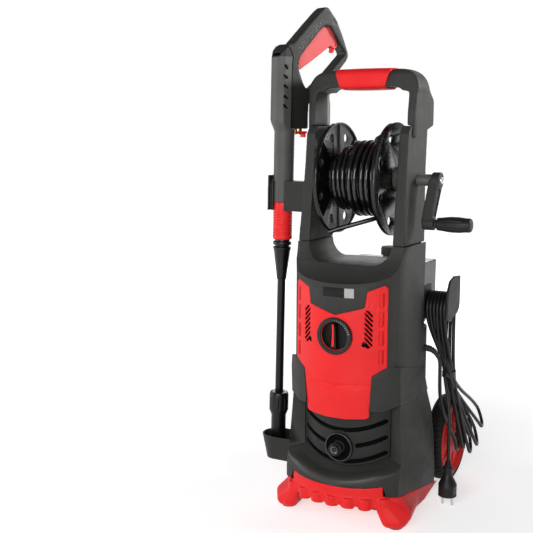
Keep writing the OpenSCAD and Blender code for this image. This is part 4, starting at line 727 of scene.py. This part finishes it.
def make_sill_lip():
    """Soft raised lip along the front edge of the sill, dying out at both corners."""
    profile = [(-25, -3), (-25, -0.3), (-22, 0.5), (-16, 2.4), (-10, 4.2), (-6, 4.9), (-3.4, 4.7),
               (-1.6, 3.8), (-0.4, 2.2), (0.3, 0), (0.45, -3), (0.3, -6)]
    bm = bmesh.new()
    rings = []
    steps = 80
    for k in range(steps + 1):
        turn = math.radians(-42.5 + 83 * k / steps)
        rise = ease(k / 14) * ease((steps - k) / 14)
        ring = []
        for out, up in profile:
            r = SILL_R + out - 2.4 * (1 - math.cos(turn)) / (1 - math.cos(math.radians(36)))
            x, y = r * math.sin(turn), BOW_Y - r * math.cos(turn)
            lift = up * rise if up > 0 else up
            z = SILL_Z + SILL_SLOPE * (y - SILL_Y) + lift - 0.4 * (1 - rise)
            ring.append(bm.verts.new(Vector((x, y, z)) * MM))
        rings.append(ring)
    bridge(bm, rings)
    bm.faces.new(rings[0])
    bm.faces.new(rings[-1])
    # The lip is drawn in a lighter black as a painted highlight along its crest
    add_mesh("sill_lip", bm, lip_highlight_black, "case", sharp=60)


def in_recess(x, z):
    """Whether a place on the panel lies in one of the shallow recesses along its sides."""
    lows = (312.4 + RECESS_STEP * i for i in range(RECESSES))
    return 79.9 < abs(x) < 87.6 and any(low < z < low + 26.2 for low in lows)


def make_panel_marks():
    """Painted shade along the inner edge of each recess, and a black sheet as painted shade in the small
    opening at the foot of the vents.
    """
    for side, name in ((-1, "left"), (1, "right")):
        shade = bmesh.new()
        for i in range(RECESSES):
            x0, x1 = sorted((side * 84.0, side * 87.0))
            z0, z1 = 313 + RECESS_STEP * i, 338 + RECESS_STEP * i
            corners = ((x0, z0), (x1, z0), (x1, z1), (x0, z1))
            add_loft(shade, *([on_bow(r, x, z) for x, z in corners] for r in (158.3, 159.2)))
        add_mesh("recess_shade_" + name, shade, red_painted_shade, "case", smooth=False)
        hole = bmesh.new()
        foot = ((53, 354), (50.5, 345.5), (63.6, 340)) if side > 0 else ((-53, 354), (-51, 344), (-66, 340.5))
        add_loft(hole, *([on_bow(r, x, z) for x, z in foot] for r in (160.0, 161.1)))
        add_mesh("vent_foot_" + name, hole, gap_and_shade_black, "case", smooth=False)


def make_dial():
    """Scale of growing ticks on the bezel, and a red ring inside its recess."""
    bm = bmesh.new()
    for i in range(10):
        a = math.radians(4 + 8.2 * i)
        half, r0, r1 = 0.45 + 0.04 * i, 28.8, 30.2 + 0.24 * i
        along, side = Vector((math.sin(a), 0, math.cos(a))), Vector((math.cos(a), 0, -math.sin(a)))
        centre = Vector((0, DIAL_Y, KNOB_Z))
        loop = [centre + along * r + side * s for r, s in ((r0, -half), (r1, -half), (r1, half), (r0, half))]
        add_loft(bm, [p * MM for p in loop], [(p + Vector((0, 0.4, 0))) * MM for p in loop])
    ticks = add_mesh("dial_ticks", bm, mark_grey, "case", smooth=False)
    profile = ((27.6, 0), (27.6, 2.4), (26.8, 2.2), (26.6, 1.2), (26.8, 0.2))
    ring = lathe([(r * MM, h * MM) for r, h in profile], 96, closed=True)
    facing = to_axis(Vector((0, RING_Y, KNOB_Z)) * MM, (0, -1, 0))
    add_mesh("knob_ring", placed(ring, facing), red_gloss, "case")


make_panel()
make_dial()
make_shade_sheets()
make_seam_cores()
make_panel_marks()
make_inlet_face()
make_sill_lip()
curved_plate("badge_end", 18.6, 36.3, 433.6, 451.2, 160.6, 161.45, plate_grey)

# ---------------------------------------------------------------- pressure hose on the reel
REEL = Vector((0, -85, 645)) * MM
HOSE_R = 4.5 * MM


def coil(name, radius, x0, x1, turns, seed, loose, phase=0.0):
    """One layer of hose round the drum, its turns a little uneven."""
    line = []
    steps = int(turns * 56)
    for k in range(steps + 1):
        t = k / steps
        a = 2 * math.pi * turns * t + phase
        sway = noise(Vector((3.1 * t * turns, seed, 0.0)))
        r = radius + loose * (0.5 + noise(Vector((seed, 1.7 * turns * t, 2.0))))
        x = x0 + (x1 - x0) * t + 1.8 * MM * sway
        line.append(Vector((x, REEL.y - r * math.cos(a), REEL.z + r * math.sin(a))))
    obj = tube_curve(name, line, HOSE_R, hose_black, "reel", 6)
    return obj


coil("hose_layer_1", 48.8 * MM, -44 * MM, 44 * MM, 9.6, 1.0, 0.2 * MM)
coil("hose_layer_2", 57.8 * MM, 43 * MM, -44 * MM, 9.0, 4.0, 0.6 * MM, 0.6)
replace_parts(coil("hose_layer_3", 67.4 * MM, -15 * MM, 41 * MM, 4.75, 7.0, 2.4 * MM, 1.2), "hose_winding")
tail_points = [(40, -90, 577), (26, -103, 570), (8, -114, 564), (-14, -124, 557), (-36, -131, 550),
               (-54, -136, 543)]
tail_line = catmull([Vector(p) * MM for p in tail_points], 3 * MM)
tube_curve("hose_tail", tail_line, HOSE_R, hose_black, "reel", 6)

# ---------------------------------------------------------------- gun
GUN_O = Vector((-175, -118, 92))
GUN_R = Vector((0.406647, 0.913545, -0.008518))
GUN_N = Vector((-0.913345, 0.406737, 0.019132))
GUN_H = Vector((0.020942, 0, 0.999781))
GUN_SHELLS = (("gun_shell_left", 1), ("gun_shell_right", -1))
SIDES = ((-1, "right"), (1, "left"))


def on_gun(r, h, n):
    """The place in metres at r along the gun's grip, h up its barrel and n across it, in mm."""
    return (GUN_O + GUN_R * r + GUN_H * h + GUN_N * n) * MM


def make_gun_lines():
    """Stepped ridge along the upper limb on both sides, and the seam round the barrel cover."""
    start, end, waves, half = Vector((19, 798)), Vector((84, 864)), 6, 3.0
    along = (end - start) / waves
    across = Vector((-along.y, along.x)).normalized() * half
    for side, name in SIDES:
        path = []
        for i in range(waves):
            foot = start + along * i
            path += [foot - across, foot + across, foot + along * 0.5 + across, foot + along * 0.5 - across]
        line = [on_gun(p.x, p.y, side * 13.7) for p in path]
        tube_curve("ridge_" + name, line, 0.8 * MM, ridge_grey, "gun", 2)
        seam = [(-12, 806), (-4, 798.5), (0.6, 790), (1.8, 783), (1.0, 775), (0.2, 757), (0, 704), (0, 650)]
        line = catmull([on_gun(r, h, side * 19.9) for r, h in seam], 2 * MM)
        tube_curve("seam_" + name, line, 0.8 * MM, gap_and_shade_black, "gun", 3)


def make_gun_skins():
    """The two halves of the body, moulded as one and cut apart again at the parting plane."""
    bm = bmesh.new()
    for node, side in GUN_SHELLS:
        count = len(bm.verts)
        bm.from_mesh(nodes[node].data)
        bm.verts.ensure_lookup_table()
        # Pressed together by a hair, so that the two close into one
        bmesh.ops.translate(bm, verts=bm.verts[count:], vec=GUN_N * (-side * 0.25 * MM))
    mesh = bpy.data.meshes.new("gun_draft")
    bm.to_mesh(mesh)
    bm.free()
    whole = moulded_mesh("gun", mesh, 1.2, 45)
    for node, side in GUN_SHELLS:
        bm = bmesh.new()
        bm.from_mesh(whole)
        bmesh.ops.bisect_plane(bm, geom=bm.verts[:] + bm.edges[:] + bm.faces[:],
                               plane_co=on_gun(0, 0, side * 0.06), plane_no=GUN_N * side, clear_inner=True)
        rim = [e for e in bm.edges if e.is_boundary]
        bmesh.ops.triangle_fill(bm, edges=rim, use_beauty=True)
        skin = add_mesh(node + "_skin", bm, grip_black, "gun", sharp=50)
        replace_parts(skin, node)


def make_cover_marks():
    """Five slanting black strips along each side of the barrel cover, as painted shade in its finger
    recesses.
    """
    marks = [((-18, 770.5), (-6.7, 757.8)), ((-19.6, 751), (-7.3, 742)), ((-19, 732), (-6.7, 723)),
             ((-18.6, 712), (-7.2, 704)), ((-19, 694.5), (-7.7, 685))]
    outline = [(0, -1.7), (2, -2.3), (9, -1.9), (12.4, -0.4), (12.4, 1.1), (9, 1.9), (2, 2.0), (0, 1.2)]
    for side, name in SIDES:
        bm = bmesh.new()
        for (r0, h0), (r1, h1) in marks:
            along = Vector((r1 - r0, h1 - h0)).normalized()
            across = Vector((-along.y, along.x))
            corners = [(r0 + along.x * u + across.x * v, h0 + along.y * u + across.y * v) for u, v in outline]
            add_loft(bm, *([on_gun(r, h, side * n) for r, h in corners] for n in (19.0, 20.25)))
        add_mesh("gun_recess_shade_" + name, bm, gap_and_shade_black, "gun", smooth=False)


def make_gun_screw():
    """Cross-head screw in the boss at the top of the loop."""
    profile = ((0, -1.2), (3.4, -1.2), (3.4, 0), (2.8, 0.7), (1.4, 1.1), (0, 1.2))
    bm = lathe([(r * MM, h * MM) for r, h in profile], 32)
    facing = to_axis(on_gun(111, 861, -11.6), -GUN_N)
    add_mesh("gun_screw", placed(bm, facing), coat_black, "gun", sharp=40)


make_gun_skins()
make_gun_lines()
make_cover_marks()
make_gun_screw()


# ---------------------------------------------------------------- carrying handle
def make_handle_grip():
    """Soft sleeve round the bar: rounded, a little crowned, its ends slanting outwards to the top."""
    middle, half = Vector((-80.5, 833.5)), Vector((33.0, 18.7))
    sides = 72
    rows = [(-1, -2.6), (-1, -1.0), (-0.99, -0.3), (-0.97, 0)] + [(k / 10, 0) for k in range(-9, 10)]
    rows += [(0.97, 0), (0.99, -0.3), (1, -1.0), (1, -2.6)]
    bm = bmesh.new()
    rings = []
    for share, inset in rows:
        ring = []
        for k in range(sides):
            a = 2 * math.pi * k / sides
            c, t = math.cos(a), math.sin(a)
            power, depth = (2 / 3, half.y) if t > 0 else (0.44, half.y + 2)
            crown = inset + 0.7 * (1 - share * share)
            y = middle.x + (half.x + crown) * math.copysign(abs(c) ** power, c)
            z = middle.y + (depth + crown) * math.copysign(abs(t) ** power, t)
            ring.append(bm.verts.new(Vector((share * (45 + 13 * (z - 814) / 39), y, z)) * MM))
        rings.append(ring)
    bridge(bm, rings, closed=True)
    grip = add_mesh("grip_sleeve", bm, red_soft, "case", sharp=60)
    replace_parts(grip, "handle_grip")


make_handle_grip()

# ---------------------------------------------------------------- wheels and crank grip
WHEEL = Vector((0, 115, 90))
TYRE_X, TYRE_W, TYRE_R, RIM_R = 91, 34, 90, 79
CRANK_GRIP = Vector((153, -107.6, 566.2)) * MM      # inner end of the crank's grip


def tread(angle, r, h):
    """Two rows of blocks round the tyre, set half a block apart, with a groove between them."""
    if r < (TYRE_R - 2.4) * MM:
        return r
    across = h / MM - TYRE_W / 2
    shift = 0.5 if across > 0 else 0.0
    place = (angle / (2 * math.pi) * 48 + shift + abs(across) * 0.03) % 1
    cut = 1 - ease((abs(place - 0.5) - 0.06) / 0.07)
    groove = 1 - ease((abs(across) - 1.2) / 0.8)
    return r - 1.7 * MM * max(cut, groove)


def make_tyre(side, name, node, body):
    edge = [(RIM_R, 1), (82, 0.5), (85, 0.1), (87.6, 1.6), (89.4, 4.2), (90, 6.5)]
    crown = [(90, 6.5 + (TYRE_W - 13) * k / 18) for k in range(1, 18)]
    profile = edge + crown + [(r, TYRE_W - h) for r, h in edge[::-1]]
    bm = lathe([(r * MM, h * MM) for r, h in profile], 576, tread, closed=True)
    matrix = to_axis((WHEEL + Vector((side * TYRE_X, 0, 0))) * MM, (side, 0, 0))
    tyre = add_mesh(name, placed(bm, matrix), tyre_black, body, sharp=50)
    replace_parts(tyre, node)


make_tyre(-1, "tyre_left", "left_tyre", "wheel_left")
make_tyre(1, "tyre_right", "right_tyre", "wheel_right")


def flutes(angle, r, h):
    """Shallow lengthwise flutes in the crank's grip."""
    height = h / MM
    depth = 0.7 * ease((height - 8) / 5) * (1 - ease((height - 46) / 5))
    return r - depth * MM * (0.5 + 0.5 * math.cos(14 * angle)) ** 2


def make_crank_grip():
    bore = [(4.3, 60), (4.3, 0)]
    outside = [(10, 0), (11.4, 0.8), (12.1, 3)]
    outside += [(12.1 + 2.4 * ease((h - 3) / 25), h) for h in range(5, 29, 2)]
    outside += [(14.5 - 1.3 * ease((h - 40) / 16), h) for h in range(30, 57, 2)]
    outside += [(12.9, 57), (12.6, 57.3), (12.6, 58.3), (13.2, 58.7), (13.1, 60.5), (12.6, 62.6),
                (11.4, 64.2), (9.6, 65), (0, 65)]
    profile = [(0, 60)] + bore + outside
    bm = lathe([(r * MM, h * MM) for r, h in profile], 168, flutes)
    facing = to_axis(CRANK_GRIP, (1, 0, 0))
    grip = add_mesh("crank_handle_grip", placed(bm, facing), trim_black, "crank_handle", sharp=45)
    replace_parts(grip, "crank_grip")


make_crank_grip()


# ---------------------------------------------------------------- floor, light and world
def area_light(name, place, aim, size, power, size_y, spread=180):
    data = bpy.data.lights.new(name, "AREA")
    data.shape = "RECTANGLE"
    data.size, data.size_y = size, size_y
    data.energy = power
    data.spread = math.radians(spread)
    obj = bpy.data.objects.new(name, data)
    bpy.context.scene.collection.objects.link(obj)
    obj.location = place
    obj.rotation_mode = "QUATERNION"
    obj.rotation_quaternion = (Vector(aim) - Vector(place)).to_track_quat("-Z", "Y")


area_light("left_box", (-2.6, -1.0, 1.1), (0, 0, 0.5), 1.0, 24, 2.2)
area_light("right_box", (1.5, 0.9, 1.4), (0.1, -0.06, 0.88), 0.6, 3, 0.6, 40)
area_light("front_box", (0.5, -3.4, 1.4), (0, 0, 0.45), 2.4, 80, 1.6)
area_light("rear_box", (-0.8, 3.0, 1.2), (0, 0, 0.5), 2.4, 30, 1.6)


def seen_rays(tree):
    """1 for rays that see the backdrop directly, in gloss or through glass, and 0 for the others."""
    path = tree.nodes.new("ShaderNodeLightPath")
    seen = maths(tree, "MAXIMUM", path.outputs["Is Camera Ray"], path.outputs["Is Glossy Ray"])
    return maths(tree, "MAXIMUM", seen, path.outputs["Is Transmission Ray"])


def make_world():
    """White backdrop for the eye, and for light a studio that is brighter behind and dim above."""
    world = bpy.data.worlds.new("studio")
    bpy.context.scene.world = world
    world.use_nodes = True
    tree = world.node_tree
    tree.nodes.clear()
    output = tree.nodes.new("ShaderNodeOutputWorld")
    around = tree.nodes.new("ShaderNodeSeparateXYZ")
    link(tree, tree.nodes.new("ShaderNodeTexCoord").outputs["Generated"], around.inputs["Vector"])
    behind = ramp(tree, around.outputs["Y"], -0.35, 0.35, 0.22, 0.42, soft=True)
    level = ramp(tree, around.outputs["Z"], 0.25, 0.75, 1.0, 0.12, soft=True)
    studio = tree.nodes.new("ShaderNodeBackground")
    link(tree, maths(tree, "MULTIPLY", behind, level), studio.inputs["Strength"])
    backdrop = tree.nodes.new("ShaderNodeBackground")
    backdrop.inputs["Color"].default_value = (1, 1, 1, 1)
    studio.inputs["Color"].default_value = (1, 1, 1, 1)
    choose = tree.nodes.new("ShaderNodeMixShader")
    path = tree.nodes.new("ShaderNodeLightPath")
    direct = maths(tree, "MAXIMUM", path.outputs["Is Camera Ray"], path.outputs["Is Transmission Ray"])
    # In gloss the backdrop is white round the horizon and dims overhead
    overhead = ramp(tree, around.outputs["Z"], 0.0, 0.3, 1.0, 0.15, soft=True)
    link(tree, maths(tree, "MAXIMUM", direct, overhead), backdrop.inputs["Strength"])
    link(tree, seen_rays(tree), choose.inputs["Fac"])
    link(tree, studio.outputs["Background"], choose.inputs[1])
    link(tree, backdrop.outputs["Background"], choose.inputs[2])
    link(tree, choose.outputs["Shader"], output.inputs["Surface"])


def make_floor():
    """White floor that keeps the object's shadow and meets the backdrop without a line."""
    bm = bmesh.new()
    bmesh.ops.create_grid(bm, x_segments=8, y_segments=8, size=20)
    mesh = bpy.data.meshes.new("floor")
    bm.to_mesh(mesh)
    bm.free()
    floor = bpy.data.objects.new("floor", mesh)
    bpy.context.scene.collection.objects.link(floor)
    material, tree, bsdf = shader("floor_white")
    cloud = noise_node(tree, 0.6, 2.0)
    pale = mix(tree, cloud.outputs["Fac"], (0.78, 0.78, 0.78), (0.82, 0.82, 0.82))
    link(tree, pale, bsdf.inputs["Base Color"])
    bsdf.inputs["Roughness"].default_value = 0.9
    bsdf.inputs["Specular IOR Level"].default_value = 0.1
    distance = tree.nodes.new("ShaderNodeVectorMath")
    distance.operation = "LENGTH"
    link(tree, tree.nodes.new("ShaderNodeTexCoord").outputs["Object"], distance.inputs[0])
    glow = tree.nodes.new("ShaderNodeEmission")
    strength = ramp(tree, distance.outputs["Value"], 0.3, 1.8, 0.58, 1.0, soft=True)
    link(tree, maths(tree, "MULTIPLY", strength, seen_rays(tree)), glow.inputs["Strength"])
    both = tree.nodes.new("ShaderNodeAddShader")
    link(tree, bsdf.outputs["BSDF"], both.inputs[0])
    link(tree, glow.outputs["Emission"], both.inputs[1])
    link(tree, both.outputs["Shader"], tree.nodes["Material Output"].inputs["Surface"])
    mesh.materials.append(material)


make_world()
make_floor()
bpy.context.scene.view_settings.view_transform = "Standard"
